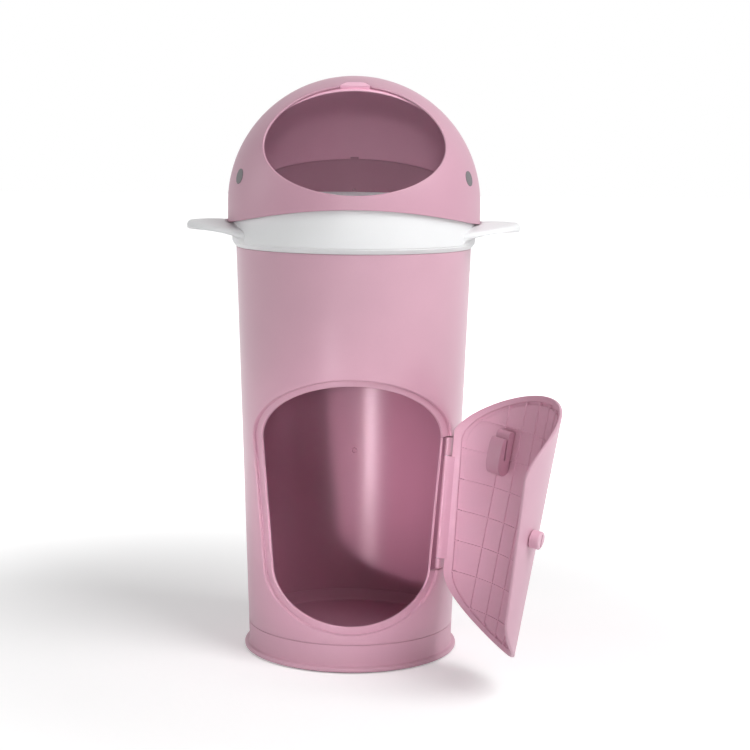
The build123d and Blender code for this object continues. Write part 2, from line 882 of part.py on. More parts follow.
def across(radius, x0, x1):
    return Pos(x0, 0, dome_centre) * Rot(0, 90, 0) * Cylinder(radius, x1 - x0, align=STANDING)


def make_dome_shell():
    shell = bell(dome_radius) - bell(dome_radius - dome_wall)
    shell -= arch()
    shell -= mouth() + thumb_recess()
    shell = one_solid(shell)
    rim = [e for e in shell.edges() if is_mouth_edge(e)]
    shell = fillet(rim, mouth_round)
    for body in ledges():
        shell += body
    shell += dome_key()
    inner = dome_radius - dome_wall / 2
    for side in (-1, 1):
        stub = across(stub_radius, stub_end, inner)
        stub -= across(screw_shank_radius, stub_end - 1, stub_end + stub_screw_reach)
        shell += stub if side > 0 else mirror(stub, Plane.YZ)
        frame = disc_frame(side)
        seat = frame * Cylinder(disc_radius, FAR, align=STANDING)
        shell -= seat - ball(dome_radius - disc_recess)
        shell -= frame * Cylinder(disc_stem_radius, FAR, align=STANDING)
    return one_solid(shell)


def is_mouth_edge(edge):
    points = [edge @ t for t in (0.1, 0.5, 0.9)]
    return all(p.Y < 0 and p.Z > ledge_bottom + 2 * ledge_thickness for p in points)


def make_eye_disc(side):
    frame = disc_frame(side)
    cap = frame * Cylinder(disc_radius, FAR, align=STANDING)
    cap = (cap & ball(dome_radius + disc_proud)) - ball(dome_radius - disc_recess)
    stem = frame * Cylinder(disc_stem_radius, FAR, align=STANDING)
    stem = (stem & ball(dome_radius)) - ball(dome_radius - dome_wall)
    return one_solid(cap + stem)


def make_pivot_screws():
    head_face = stub_end
    right = Pos(head_face, 0, dome_centre) * Rot(0, -90, 0) * screw(stub_screw_reach)
    washer = across(washer_radius, head_face - washer_thickness, head_face) - across(
        screw_shank_radius, head_face - 1, head_face
    )
    right = Pos(-washer_thickness, 0, 0) * right + washer
    return Compound(children=[one_solid(right), one_solid(mirror(right, Plane.YZ))])


def turned_shell(outer, reach0, reach1, half_width, start, sweep):
    # A band of the shutter's sphere, swept about its pivot line from the elevation start towards the front
    tilt = radians(start)
    plane = Plane(origin=(0, 0, dome_centre), x_dir=(1, 0, 0), z_dir=(0, -sin(tilt), -cos(tilt)))
    band = Circle(outer) - Circle(shutter_outer - shutter_wall)
    window = Pos(0, (reach0 + reach1) / 2) * Rectangle(2 * half_width, reach1 - reach0)
    return revolve(plane * (band & window), Axis((0, 0, dome_centre), (1, 0, 0)), sweep)


def make_shutter():
    hole = stub_radius + shutter_play
    lune = turned_shell(shutter_outer, hole, FAR, FAR, shutter_rear, shutter_rear - shutter_front)
    lune += turned_shell(shutter_outer, hole, shutter_ear_radius, FAR, shutter_rear, 360)
    tab = turned_shell(tab_radius, hole, FAR, recess_half_width, tab_rear, tab_rear - tab_front)
    lune += tab & thumb_recess(tab_gap)
    notch = Box(rear_notch_width, FAR, 2 * rear_notch_depth, align=(Align.CENTER, Align.MIN, Align.CENTER))
    lune -= Pos(0, 0, dome_centre) * Rot(180 - shutter_rear, 0, 0) * notch
    return one_solid(lune)


door_panel = make_door_panel()

nodes = {
    "body_shell": make_body_shell(),
    "base_tray": make_base_tray(),
    "anti_slip_ring": make_anti_slip_ring(),
    "base_screws": make_screws(base_screw_places, base_screw_length),
    "upper_hinge_pin": make_upper_pin(),
    "lower_hinge_pin": make_lower_pin(),
    "glide_ring": make_glide_ring(),
    "grip_ring": make_grip_ring(),
    "grip_screws": make_screws(grip_screw_places, grip_screw_length),
    "twist_ring": make_twist_ring(),
    "retainer_ring": make_retainer_ring(),
    "retainer_screws": make_screws(retainer_screw_places, retainer_screw_length),
    "throat_funnel": make_throat_funnel(),
    "funnel_screws": make_screws(funnel_screw_places, funnel_screw_length),
    "dome_shell": make_dome_shell(),
    "left_eye_disc": make_eye_disc(-1),
    "right_eye_disc": make_eye_disc(1),
    "shutter_pivot_screws": make_pivot_screws(),
    "shutter": make_shutter(),
    "door_panel": swung_open(door_panel),
    "cutter_body": swung_open(make_cutter_body(door_panel)),
    "cutter_blade": swung_open(make_cutter_blade()),
    "door_knob": swung_open(make_knob()),
    "latch_tongue": swung_open(make_latch_tongue()),
    "latch_screw": swung_open(make_latch_screw()),
}

for name, solid in nodes.items():
    export_step(solid, f"parts/{name}.step")
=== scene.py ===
"""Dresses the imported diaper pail: smooth moulded shells, plastic finishes, a pale studio and a camera.

Sizes are millimetres in the pail's own frame: Z up, the front towards -Y, the floor at Z 0. An azimuth is in
degrees from the front towards +X. A depth is a distance below an outer surface, and an inset is a distance
from the door's outline into the doorway, seen from the front.
"""

import json
import logging
import math
from collections.abc import Callable, Sequence
from dataclasses import dataclass, field
from enum import Enum

import bmesh
import bpy
import numpy as np
from mathutils import Matrix, Vector


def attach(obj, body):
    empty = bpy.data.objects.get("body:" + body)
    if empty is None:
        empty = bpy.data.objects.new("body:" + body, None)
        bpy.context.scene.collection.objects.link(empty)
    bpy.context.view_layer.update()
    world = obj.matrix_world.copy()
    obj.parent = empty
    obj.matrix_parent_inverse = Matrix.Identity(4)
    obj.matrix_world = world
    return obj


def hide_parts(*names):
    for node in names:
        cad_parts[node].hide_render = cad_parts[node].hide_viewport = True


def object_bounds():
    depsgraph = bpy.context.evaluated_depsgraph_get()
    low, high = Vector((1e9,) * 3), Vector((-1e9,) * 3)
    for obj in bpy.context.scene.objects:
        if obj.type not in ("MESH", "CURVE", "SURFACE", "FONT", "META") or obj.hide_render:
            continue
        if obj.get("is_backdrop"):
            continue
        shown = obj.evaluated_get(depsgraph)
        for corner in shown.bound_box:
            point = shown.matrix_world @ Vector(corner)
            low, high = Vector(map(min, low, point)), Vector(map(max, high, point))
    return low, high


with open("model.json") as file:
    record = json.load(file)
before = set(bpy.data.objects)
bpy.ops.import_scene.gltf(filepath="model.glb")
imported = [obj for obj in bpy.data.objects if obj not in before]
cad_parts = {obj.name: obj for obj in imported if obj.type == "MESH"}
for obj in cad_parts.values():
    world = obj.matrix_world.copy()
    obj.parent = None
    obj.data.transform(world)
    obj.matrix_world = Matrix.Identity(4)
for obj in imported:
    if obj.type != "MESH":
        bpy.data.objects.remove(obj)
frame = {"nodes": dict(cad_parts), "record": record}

Array = np.ndarray
Colour = tuple[float, float, float]
Place = tuple[float, float, float]  # X, Y and Z in metres
Corner = tuple[float, float, float]  # two coordinates, and how far the corner is set back to soften it
MM = 0.001
WELD = 0.004  # grid points closer than this become one
SHARP = math.radians(38)  # an edge that turns by more than this stays sharp
X_AXIS, Y_AXIS, Z_AXIS = np.eye(3)
SCREW_AZIMUTHS = (-90.0, -25.0, 25.0, 90.0)
log = logging.getLogger("pail")


class Body(Enum):
    """The moving bodies of the pail, by their names in the frame."""

    BODY = "body"
    HEAD = "head"
    DOME = "dome"
    SHUTTER = "shutter"
    DOOR = "door"
    KNOB = "knob"


# Finishes


def srgb(red: int, green: int, blue: int) -> Colour:
    """Turns a colour in screen values from 0 to 255 into linear light."""
    parts = [c / 255 for c in (red, green, blue)]
    return tuple(c / 12.92 if c < 0.04045 else ((c + 0.055) / 1.055) ** 2.4 for c in parts)


class Signal:
    """A shader socket that takes part in arithmetic; each sum or product adds a Math node."""

    def __init__(self, shader: "Shader", socket: bpy.types.NodeSocket) -> None:
        """Wraps one output socket of a shader's node."""
        self.shader = shader
        self.socket = socket

    def _math(self, operation: str, first: object, second: object) -> "Signal":
        """Adds one Math node on two values or signals."""
        node = self.shader.node("ShaderNodeMath", {"operation": operation}, {0: first, 1: second})
        return Signal(self.shader, node.outputs[0])

    def __add__(self, other: object) -> "Signal":
        """Signal plus a value or signal."""
        return self._math("ADD", self, other)

    def __mul__(self, other: object) -> "Signal":
        """Signal times a value or signal."""
        return self._math("MULTIPLY", self, other)

    def __sub__(self, other: object) -> "Signal":
        """Signal minus a value or signal."""
        return self._math("SUBTRACT", self, other)

    def __rsub__(self, other: object) -> "Signal":
        """A value minus the signal."""
        return self._math("SUBTRACT", other, self)

    __radd__ = __add__
    __rmul__ = __mul__


class Shader:
    """The node tree of one material or world."""

    def __init__(self, owner: bpy.types.Material | bpy.types.World) -> None:
        """Empties the owner's node tree.

        Args:
            owner: the material or world whose nodes are built.
        """
        owner.use_nodes = True
        self.tree = owner.node_tree
        self.tree.nodes.clear()

    def node(self, kind: str, settings: dict | None = None, sockets: dict | None = None) -> bpy.types.Node:
        """Makes one node, sets it and feeds its sockets.

        Args:
            kind: the node's type.
            settings: attributes of the node, set first; "stops" gives a colour ramp's places and colours.
            sockets: values, signals or output sockets by the input's name or number.

        Returns:
            The new node.
        """
        node = self.tree.nodes.new(kind)
        for name, value in (settings or {}).items():
            if name == "stops":
                for element, (place, colour) in zip(node.color_ramp.elements, value):
                    element.position, element.color = place, (*colour, 1)
            else:
                setattr(node, name, value)
        for name, value in (sockets or {}).items():
            if isinstance(value, Signal):
                value = value.socket
            if isinstance(value, bpy.types.NodeSocket):
                self.tree.links.new(value, node.inputs[name])
            else:
                node.inputs[name].default_value = value
        return node

    def place(self) -> bpy.types.NodeSocket:
        """The socket of the Object coordinates."""
        return self.node("ShaderNodeTexCoord").outputs["Object"]

    def noise(self, scale: float, detail: float) -> Signal:
        """Noise on Object coordinates, from 0 to 1: how many spots fit in a metre, and how many finer layers."""
        spots = self.node("ShaderNodeTexNoise", None, {"Vector": self.place(), "Scale": scale, "Detail": detail})
        return Signal(self, spots.outputs[0])

    def ramp(self, value: object, low: float, high: float) -> Signal:
        """A soft step that follows a value, from 0 at a low one to 1 at a high one."""
        step = self.node("ShaderNodeMapRange", {"interpolation_type": "SMOOTHSTEP"}, {0: value, 1: low, 2: high})
        return Signal(self, step.outputs[0])


@dataclass(frozen=True)
class InnerPaintedShade:
    """Painted shade: a darker, richer colour on the tube's inner wall and floor behind the doorway, where shade falls
    inside the pail.
    """

    painted_shade_darkening: float = 0.26
    painted_shade_richness: float = 0.234
    depth: tuple[float, float] = (0.0012, 0.0018)  # metres under the outer surface, over which it sets in
    back: tuple[float, float] = (-0.07, -0.02)  # metres of Y, over which it sets in

    def share(self, shader: Shader) -> Signal:
        """Measures how far a point lies inside the pail's tube, which sets how much shade is painted there.

        Args:
            shader: the shader that gets the nodes.

        Returns:
            A signal of 0 on the outer surface and round the doorway, and 1 on the inner wall behind it.
        """
        wall = TaperedWall()
        axes = shader.node("ShaderNodeSeparateXYZ", None, {"Vector": shader.place()}).outputs
        x, y, z = (Signal(shader, axis) for axis in axes)
        radius = Signal(shader, shader.node("ShaderNodeMath", {"operation": "SQRT"}, {0: x * x + y * y}).outputs[0])
        depth = z * wall.slope + wall.foot_radius * MM - radius
        return shader.ramp(depth, *self.depth) * shader.ramp(y, *self.back)

    def paint_shade(self, shader: Shader, colour: bpy.types.NodeSocket) -> bpy.types.NodeSocket:
        """Paints shade into a colour inside the pail: darker and richer.

        Args:
            shader: the shader that gets the nodes.
            colour: the plain colour.

        Returns:
            The colour with the painted shade.
        """
        # painted shade: the value drops and the saturation rises where the share reaches 1
        share = self.share(shader)
        sockets = {"Color": colour, "Value": 1 - share * self.painted_shade_darkening, "Saturation": share * self.painted_shade_richness + 1}
        return shader.node("ShaderNodeHueSaturation", None, sockets).outputs[0]


@dataclass(frozen=True)
class Finish:
    """A moulded or rubbed surface: its colour drifts slowly, its gloss varies in fine spots, its skin ripples."""

    name: str
    colour: Colour
    roughness: float = 0.4
    metallic: float = 0.0
    drift: float = 0.035
    spread: float = 0.06
    grain: float = 900.0
    ripple: float = 0.05
    ripple_reach: float = 0.0001
    patches: float = 14.0  # slow patches of colour in a metre
    # painted shade inside the pail: a darker, richer colour on the inner wall and floor
    inner: InnerPaintedShade | None = None

    def material(self) -> bpy.types.Material:
        """Builds the finish.

        Returns:
            The material, with a slow noise on its colour, a fine one on its roughness and both in its bump.
        """
        made = bpy.data.materials.new(self.name)
        shader = Shader(made)
        cloud = shader.noise(self.patches, 2.0)
        spots = shader.noise(self.grain, 3.0)
        low = tuple(c * (1 - self.drift) for c in self.colour)
        high = tuple(min(1.0, c * (1 + self.drift)) for c in self.colour)
        shade = shader.node(
            "ShaderNodeValToRGB", {"stops": ((0.3, low), (0.7, high))}, {"Fac": cloud * 0.7 + spots * 0.3}
        )
        tone = shade.outputs["Color"]
        # painted shade: the colour is darkened and enriched on the pail's inner wall and floor
        if self.inner:
            tone = self.inner.paint_shade(shader, tone)
        bump = shader.node(
            "ShaderNodeBump",
            None,
            {"Strength": self.ripple, "Distance": self.ripple_reach, "Height": spots + cloud * 2.0},
        )
        skin = shader.node(
            "ShaderNodeBsdfPrincipled",
            None,
            {
                "Base Color": tone,
                "Roughness": (spots - 0.5) * self.spread + self.roughness,
                "Metallic": self.metallic,
                "Normal": bump.outputs["Normal"],
            },
        )
        shader.node("ShaderNodeOutputMaterial", None, {"Surface": skin.outputs[0]})
        return made


PINK = srgb(208, 163, 180)
FINISHES = {
    finish.name: finish
    for finish in (
        # the body and the base carry painted shade on their inner wall and floor
        Finish("body_plastic", PINK, roughness=0.31, ripple=0.02, spread=0.04, inner=InnerPaintedShade()),
        Finish("base_plastic", PINK, roughness=0.46, inner=InnerPaintedShade()),
        Finish("dome_plastic", srgb(201, 154, 172), roughness=0.42),
        # painted light: the shutter's pink is lighter than the body's to lift the shade inside the dome's mouth
        Finish("shutter_plastic", srgb(242, 188, 210), roughness=0.42),
        Finish("door_plastic", srgb(217, 171, 189), roughness=0.4),
        # painted shade: the cutter's pink is darker than the door's, standing in for the shade round its slot and
        # side
        Finish("cutter_plastic", srgb(193, 146, 164), roughness=0.36),
        Finish("knob_plastic", srgb(224, 178, 196), roughness=0.36),
        Finish("ring_plastic", srgb(235, 236, 237), roughness=0.38, drift=0.015),
        Finish("disc_plastic", srgb(112, 108, 111), roughness=0.55, grain=1600.0, drift=0.1),
        Finish("glide_plastic", srgb(224, 222, 214), roughness=0.5),
        Finish("grip_rubber", srgb(64, 60, 62), roughness=0.8, grain=1400.0, ripple=0.3),
        Finish("finger_rubber", srgb(196, 198, 202), roughness=0.62, ripple=0.12),
        Finish("steel", srgb(205, 206, 208), roughness=0.3, metallic=1.0, grain=2400.0, ripple=0.08),
        Finish("pin_steel", srgb(190, 191, 194), roughness=0.36, metallic=1.0, grain=2600.0),
    )
}


class Wardrobe:
    """Every finish of the record's material slots, each made once."""

    def __init__(self) -> None:
        """Starts with no material made."""
        self.made: dict[str, bpy.types.Material] = {}

    def dress(self, piece: bpy.types.Object, slot: str) -> None:
        """Gives a piece its finish and its slot.

        Args:
            piece: the object to dress.
            slot: the record's material slot, which is also the finish's name.
        """
        if slot not in self.made:
            self.made[slot] = FINISHES[slot].material()
        piece.data.materials.clear()
        piece.data.materials.append(self.made[slot])


# Surfaces


def rounded(corners: Sequence[Corner], closed: bool = True, steps: int = 5) -> Array:
    """Softens the corners of a polyline.

    Each corner is replaced by the parabola that leaves one side and meets the next at the corner's setback.

    Args:
        corners: two coordinates and the setback of each corner.
        closed: whether the last corner joins the first.
        steps: how many points make a softened corner.

    Returns:
        The points, as an array of (points, 2).
    """
    table = np.array(corners, float)
    place, setback = table[:, :2], table[:, 2]
    before, after = np.roll(place, 1, 0), np.roll(place, -1, 0)
    if not closed:
        before[0], after[-1] = place[0], place[-1]
    sides = [end - place for end in (before, after)]
    towards = [side / np.maximum(np.linalg.norm(side, axis=1), 1e-9)[:, None] for side in sides]
    t = np.linspace(0, 1, steps)[None, :, None]
    start = (place + towards[0] * setback[:, None])[:, None]
    finish = (place + towards[1] * setback[:, None])[:, None]
    bends = start * (1 - t) ** 2 + place[:, None] * 2 * t * (1 - t) + finish * t**2
    keep = [bends[i] if setback[i] > 0 else place[i : i + 1] for i in range(len(place))]
    return np.vstack(keep)


def bend(radius: float, turn: float = 90, steps: int = 6) -> list[tuple[float, float]]:
    """Pairs of radius times sine and radius times cosine, at even steps from 0 to a turn in degrees."""
    return [(radius * math.sin(a), radius * math.cos(a)) for a in np.radians(np.linspace(0, turn, steps))]


def around(azimuth: Array, radius: Array, z: Array) -> Array:
    """Points at given azimuths in degrees, radii from the pail's axis and heights."""
    angle = np.radians(azimuth)
    return np.stack(np.broadcast_arrays(radius * np.sin(angle), -radius * np.cos(angle), z), -1)


@dataclass(frozen=True)
class Placement:
    """A local frame: its origin and three unit directions."""

    origin: Array
    across: Array
    up: Array
    out: Array

    def points(self, across: Array, up: Array, out: Array) -> Array:
        """Points of local coordinates in the pail's frame."""
        parts = np.broadcast_arrays(across, up, out)
        return self.origin + sum(p[..., None] * d for p, d in zip(parts, (self.across, self.up, self.out)))


class Surface:
    """Gathers grids of points, welds them into one mesh and hands it to its body."""

    def __init__(self, name: str) -> None:
        """Starts an empty surface.

        Args:
            name: the name of its piece.
        """
        self.name = name
        self.points: list[Array] = []
        self.quads: list[Array] = []
        self.count = 0

    def grid(self, points: Array, close_rows: bool = False, close_columns: bool = False) -> None:
        """Adds the quads between neighbouring points of a grid.

        Args:
            points: an array of (rows, columns, 3).
            close_rows: whether the last row joins the first.
            close_columns: whether the last column joins the first.
        """
        rows, columns = points.shape[:2]
        index = self.count + np.arange(rows * columns).reshape(rows, columns)
        if close_rows:
            index = np.vstack([index, index[:1]])
        if close_columns:
            index = np.hstack([index, index[:, :1]])
        quads = np.stack([index[:-1, :-1], index[1:, :-1], index[1:, 1:], index[:-1, 1:]], -1)
        self.points.append(points.reshape(-1, 3))
        self.quads.append(quads.reshape(-1, 4))
        self.count += rows * columns

    def lathe(self, profile: Array, azimuths: Array, ceiling: Array | None = None) -> None:
        """Turns a profile round the pail's axis.

        Args:
            profile: the closed profile of radius and height.
            azimuths: the azimuths at which it stands; short of a full round, both ends are closed.
            ceiling: at each azimuth, the height above which the profile is cut down.
        """
        z = np.repeat(profile[None, :, 1], len(azimuths), 0)
        if ceiling is not None:
            z = np.minimum(z, ceiling[:, None])
        ring = around(azimuths[:, None], profile[None, :, 0], z)
        step = azimuths[-1] - azimuths[-2]
        whole = azimuths[-1] - azimuths[0] + step > 359
        if not whole:
            middle = ring.mean(1, keepdims=True)
            first, last = (np.repeat(end, ring.shape[1], 1) for end in (middle[:1], middle[-1:]))
            ring = np.concatenate([first, ring, last])
        self.grid(ring, close_rows=whole, close_columns=True)

    def turned(self, place: Placement, profile: Array, steps: int = 48) -> None:
        """Turns an open profile about a placement's outward line, on which it starts and ends.

        Args:
            place: the placement.
            profile: the profile of radius and distance out.
            steps: how many times the profile stands round the line.
        """
        angle = np.linspace(0, 2 * math.pi, steps, endpoint=False)[:, None]
        radius, out = profile[None, :, 0], profile[None, :, 1]
        self.grid(place.points(radius * np.cos(angle), radius * np.sin(angle), out), close_rows=True)

    def build(
        self, body: Body, slot: str, wardrobe: Wardrobe, replaces: Sequence[str], fill: bool = False
    ) -> bpy.types.Object:
        """Makes the piece and dresses it.

        Args:
            body: the moving body that carries it.
            slot: its material slot.
            wardrobe: the finishes.
            replaces: the frame's nodes that it stands for.
            fill: whether its open ends get flat faces.

        Returns:
            The piece, welded, closed and facing outwards.
        """
        mesh = bpy.data.meshes.new(self.name)
        points = np.vstack(self.points) * MM
        mesh.from_pydata(points.tolist(), [], np.vstack(self.quads).tolist())
        shape = bmesh.new()
        shape.from_mesh(mesh)
        bmesh.ops.remove_doubles(shape, verts=shape.verts, dist=WELD * MM)
        if fill:
            bmesh.ops.holes_fill(shape, edges=[e for e in shape.edges if e.is_boundary])
        bmesh.ops.recalc_face_normals(shape, faces=shape.faces)
        shape.to_mesh(mesh)
        shape.free()
        mesh.shade_smooth()
        mesh.set_sharp_from_angle(angle=SHARP)
        piece = bpy.data.objects.new(self.name, mesh)
        bpy.context.scene.collection.objects.link(piece)
        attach(piece, body.value)
        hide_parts(*replaces)
        wardrobe.dress(piece, slot)
        log.info("%s: %d faces on %s", self.name, len(mesh.polygons), body.value)
        return piece


def soften(piece: bpy.types.Object, width: float) -> None:
    """Rounds the sharp edges of a piece by a Bevel.

    Args:
        piece: the piece.
        width: the Bevel's width in millimetres.
    """
    bevel = piece.modifiers.new("rounding", "BEVEL")
    bevel.width = width * MM
    bevel.segments = 3
    bevel.limit_method = "ANGLE"
    bevel.angle_limit = math.radians(40)
    bevel.harden_normals = True


# The tapered wall and what is laid on it


@dataclass
class TaperedWall:
    """The body's cone, in coordinates of azimuth, height and depth."""

    foot_radius: float = 109.0
    rim_radius: float = 124.04
    rim_height: float = 432.2
    thickness: float = 2.6

    @property
    def slope(self) -> float:
        """How much the radius grows with each unit of height."""
        return (self.rim_radius - self.foot_radius) / self.rim_height

    def radius(self, z: Array) -> Array:
        """Radius of the outer surface at a height."""
        return self.foot_radius + (self.rim_radius - self.foot_radius) * z / self.rim_height

    def at(self, azimuth: Array, z: Array, depth: Array) -> Array:
        """Points under the outer surface: the radius at the height, less the depth, at the azimuth."""
        return around(azimuth, self.radius(z) - depth, z)

    def azimuth_of_x(self, x: Array, z: Array) -> Array:
        """Azimuth at which the outer surface has a given X."""
        return np.degrees(np.arcsin(x / self.radius(z)))

    def arc(self, length: Array, z: Array) -> Array:
        """Degrees of azimuth that cover a length along the wall at a height."""
        return np.degrees(length / self.radius(z))

    def bar(self, azimuth: Array, z: Array, section: Array, upright: bool) -> Array:
        """Lays a bar with flat ends along the wall.

        A closed section of a width and a depth is carried along the path. The width is along the wall for an
        upright bar and along Z otherwise. The first and last sections shrink to their middle and close the ends.

        Args:
            azimuth: the path's azimuths.
            z: the path's heights.
            section: the section's points.
            upright: whether the bar runs up the wall.

        Returns:
            The grid, to be closed along its columns.
        """
        rows = np.concatenate([[0], np.arange(len(z)), [len(z) - 1]])
        scale = np.concatenate([[0], np.ones(len(z)), [0]])[:, None]
        middle = section.mean(0)
        across = middle[0] + (section[None, :, 0] - middle[0]) * scale
        depth = middle[1] + (section[None, :, 1] - middle[1]) * scale
        height = np.repeat(z[rows][:, None], section.shape[0], 1)
        if upright:
            return self.at(azimuth[rows][:, None] + self.arc(across, height), height, depth)
        return self.at(azimuth[rows][:, None] + 0 * across, height + across, depth)


@dataclass
class Doorway:
    """The door's outline: half an ellipse above, half an ellipse below and straight leaning sides.

    A station is a place along the outline. For an inset i its X is cos * (half width - i) and its Z is
    centre + sin * (rise - i), where cos and sin are 1 and 0 on the straight sides.
    """

    wall: TaperedWall
    breaks: tuple[float, float]
    top_centre: float = 238.0
    top_half_width: float = 103.3
    top_rise: float = 67.4
    bottom_centre: float = 103.5
    bottom_half_width: float = 91.6
    bottom_drop: float = 63.8
    side_foot: float = 80.0  # where the stations that are spaced by height begin
    top_count: int = 145
    bottom_count: int = 97
    side_counts: tuple[int, int, int] = (12, 64, 10)  # below, between and above the breaks

    def __post_init__(self) -> None:
        """Lays out the stations, anticlockwise from the top of the right side."""
        heights, marked = self.side_heights()
        foot = math.degrees(math.asin((self.bottom_centre - self.side_foot) / self.bottom_drop))
        top = np.radians(np.linspace(0, 180, self.top_count))
        low = np.radians(np.linspace(180 + foot, 360 - foot, self.bottom_count)[1:-1])
        right = self.side(heights)
        left = [values[::-1].copy() for values in right]
        left[0] = -left[0]
        arcs = []
        for turn, centre, width, rise in (
            (top[1:-1], self.top_centre, self.top_half_width, self.top_rise),
            (low, self.bottom_centre, self.bottom_half_width, self.bottom_drop),
        ):
            arcs.append([np.cos(turn), np.sin(turn), *(np.full_like(turn, v) for v in (width, centre, rise))])
        parts = [right, arcs[0], left, arcs[1]]
        self.cos, self.sin, self.width, self.centre, self.rise = (np.concatenate(v) for v in zip(*parts))
        self.marked = np.concatenate([marked, np.zeros(len(self.cos) - len(marked), bool)])
        self.count_right = len(heights)
        across, along = self.cos / self.width, self.sin / self.rise
        long = np.hypot(across, along)
        azimuth = np.radians(self.wall.azimuth_of_x(self.x(0), self.z(0)))
        self.stretch = 1 / np.hypot(across / long / np.cos(azimuth), along / long)

    def side_heights(self) -> tuple[Array, Array]:
        """Spaces the stations up the right side.

        Returns:
            Their heights, doubled at the breaks, and which of them lie between the breaks.
        """
        marks = (self.side_foot, *self.breaks, self.top_centre)
        spans = list(zip(marks[:-1], marks[1:], self.side_counts, (False, True, False)))
        spans = [s for s in spans if s[1] - s[0] > 0.5]
        heights = np.concatenate([np.linspace(a, b, n) for a, b, n, _ in spans])
        return heights, np.concatenate([np.full(n, flag) for _, _, n, flag in spans])

    def side(self, z: Array) -> list[Array]:
        """Places stations on the right side.

        Args:
            z: their heights.

        Returns:
            Their cosines, sines, half widths, centres and rises.
        """
        sine = -np.clip((self.bottom_centre - z) / self.bottom_drop, 0, 1)
        centre, rise = np.maximum(z, self.bottom_centre), np.full_like(z, self.bottom_drop)
        return [np.sqrt(1 - sine**2), sine, self.leaning_width(z), centre, rise]

    def leaning_width(self, z: Array) -> Array:
        """Half the distance between the leaning sides at heights."""
        share = np.clip((z - self.bottom_centre) / (self.top_centre - self.bottom_centre), 0, 1)
        return self.bottom_half_width + (self.top_half_width - self.bottom_half_width) * share

    def x(self, inset: Array) -> Array:
        """X of every station at an inset."""
        return self.cos * (self.width - inset)

    def z(self, inset: Array) -> Array:
        """Z of every station at an inset."""
        return self.centre + self.sin * (self.rise - inset)

    def loop(self, inset: Array, along: Array, depth: Array, lower_inset: Array | None = None) -> Array:
        """Moves the outline in or out.

        Args:
            inset: the inset seen from the front.
            along: a further length along the wall, turned into an inset by the wall's slant there.
            depth: the depth.
            lower_inset: the inset below the outline's bottom centre, where it differs.

        Returns:
            Azimuth, height and depth of every station.
        """
        extra = along * self.stretch
        height_inset = np.where(self.sin < 0, inset if lower_inset is None else lower_inset, inset) + extra
        z = self.z(height_inset)
        azimuth = self.wall.azimuth_of_x(self.x(inset + extra), z)
        return np.stack([azimuth, z, np.full_like(z, depth)])

    def half_width_at(self, z: Array, inset: float) -> Array:
        """Measures the outline at heights.

        Args:
            z: the heights.
            inset: the inset.

        Returns:
            Half the width at each height.
        """
        up = np.clip((z - self.top_centre) / (self.top_rise - inset), 0, 1)
        down = np.clip((self.bottom_centre - z) / (self.bottom_drop - inset), 0, 1)
        return (self.leaning_width(z) - inset) * np.sqrt(1 - up**2) * np.sqrt(1 - down**2)

    def heights_at(self, x: float, inset: float) -> tuple[float, float]:
        """Measures the outline at an X.

        Args:
            x: the X.
            inset: the inset.

        Returns:
            The lowest and the highest Z there.
        """
        halves = ((self.bottom_half_width, self.bottom_drop), (self.top_half_width, self.top_rise))
        low, high = (
            math.sqrt(max(0.0, 1 - (x / (width - inset)) ** 2)) * (rise - inset) for width, rise in halves
        )
        return self.bottom_centre - low, self.top_centre + high


@dataclass
class HingeLine:
    """The door's hinge line and how far the door stands open, read from the frame's joint."""

    origin: Array = field(init=False)
    axis: Array = field(init=False)
    open_angle: float = field(init=False)
    barrel_radius: float = 3.2

    def __post_init__(self) -> None:
        """Reads the joint."""
        joint = next(j for j in frame["record"]["behaviour"]["joints"] if j["name"] == "door_hinge")
        self.origin = np.array(joint["pos_m"]) / MM
        self.axis = np.array(joint["axis"]) / np.linalg.norm(joint["axis"])
        self.open_angle = math.radians(-min(joint["range_deg"]))

    def at(self, z: Array) -> Array:
        """Points of the hinge line at heights."""
        return self.origin + self.axis * ((np.asarray(z) - self.origin[2]) / self.axis[2])[..., None]

    def azimuth(self, z: Array) -> Array:
        """Azimuths of the hinge line at heights."""
        points = self.at(z)
        return np.degrees(np.arctan2(points[..., 0], -points[..., 1]))

    def swing(self, points: Array) -> Array:
        """Opens the door.

        Args:
            points: points of the closed door.

        Returns:
            The points turned about the hinge line to where the door stands open.
        """
        arm = points - self.origin
        along = (arm @ self.axis)[..., None] * self.axis
        across = arm - along
        turned = across * math.cos(self.open_angle) + np.cross(self.axis, across) * math.sin(self.open_angle)
        return self.origin + along + turned

    def knuckle(self, z0: float, z1: float, web: float) -> Array:
        """Makes a knuckle round the hinge line, with a web towards the body's wall.

        The section is half a circle on the doorway's side, carried on by two sides that close in slightly. It
        runs up the hinge line and narrows at its ends.

        Args:
            z0: its lowest height.
            z1: its highest height.
            web: the web's length, or 0 for a plain round barrel.

        Returns:
            The grid, to be closed along its columns.
        """
        turn = np.linspace(0, 2 * math.pi, 40, endpoint=False)
        out = self.barrel_radius * np.cos(turn)
        along = self.barrel_radius * np.sin(turn)
        if web:
            along = np.where(along > 0, along / self.barrel_radius * web, along)
            out = np.where(along > 0, np.sign(out) * (self.barrel_radius - 0.03 * along) * (along < web), out)
        edge = 0.5
        z = np.array([z0, z0, z0 + edge, z1 - edge, z1, z1])
        scale = np.array([0, 1 - edge / self.barrel_radius, 1, 1, 1 - edge / self.barrel_radius, 0])
        azimuth = math.radians(float(self.azimuth(z0)))
        outward = np.array([math.sin(azimuth), -math.cos(azimuth), 0])
        tangent = np.cross(self.axis, outward)
        spread = out[None, :, None] * outward + along[None, :, None] * tangent
        return self.at(z)[:, None] + spread * scale[:, None, None]


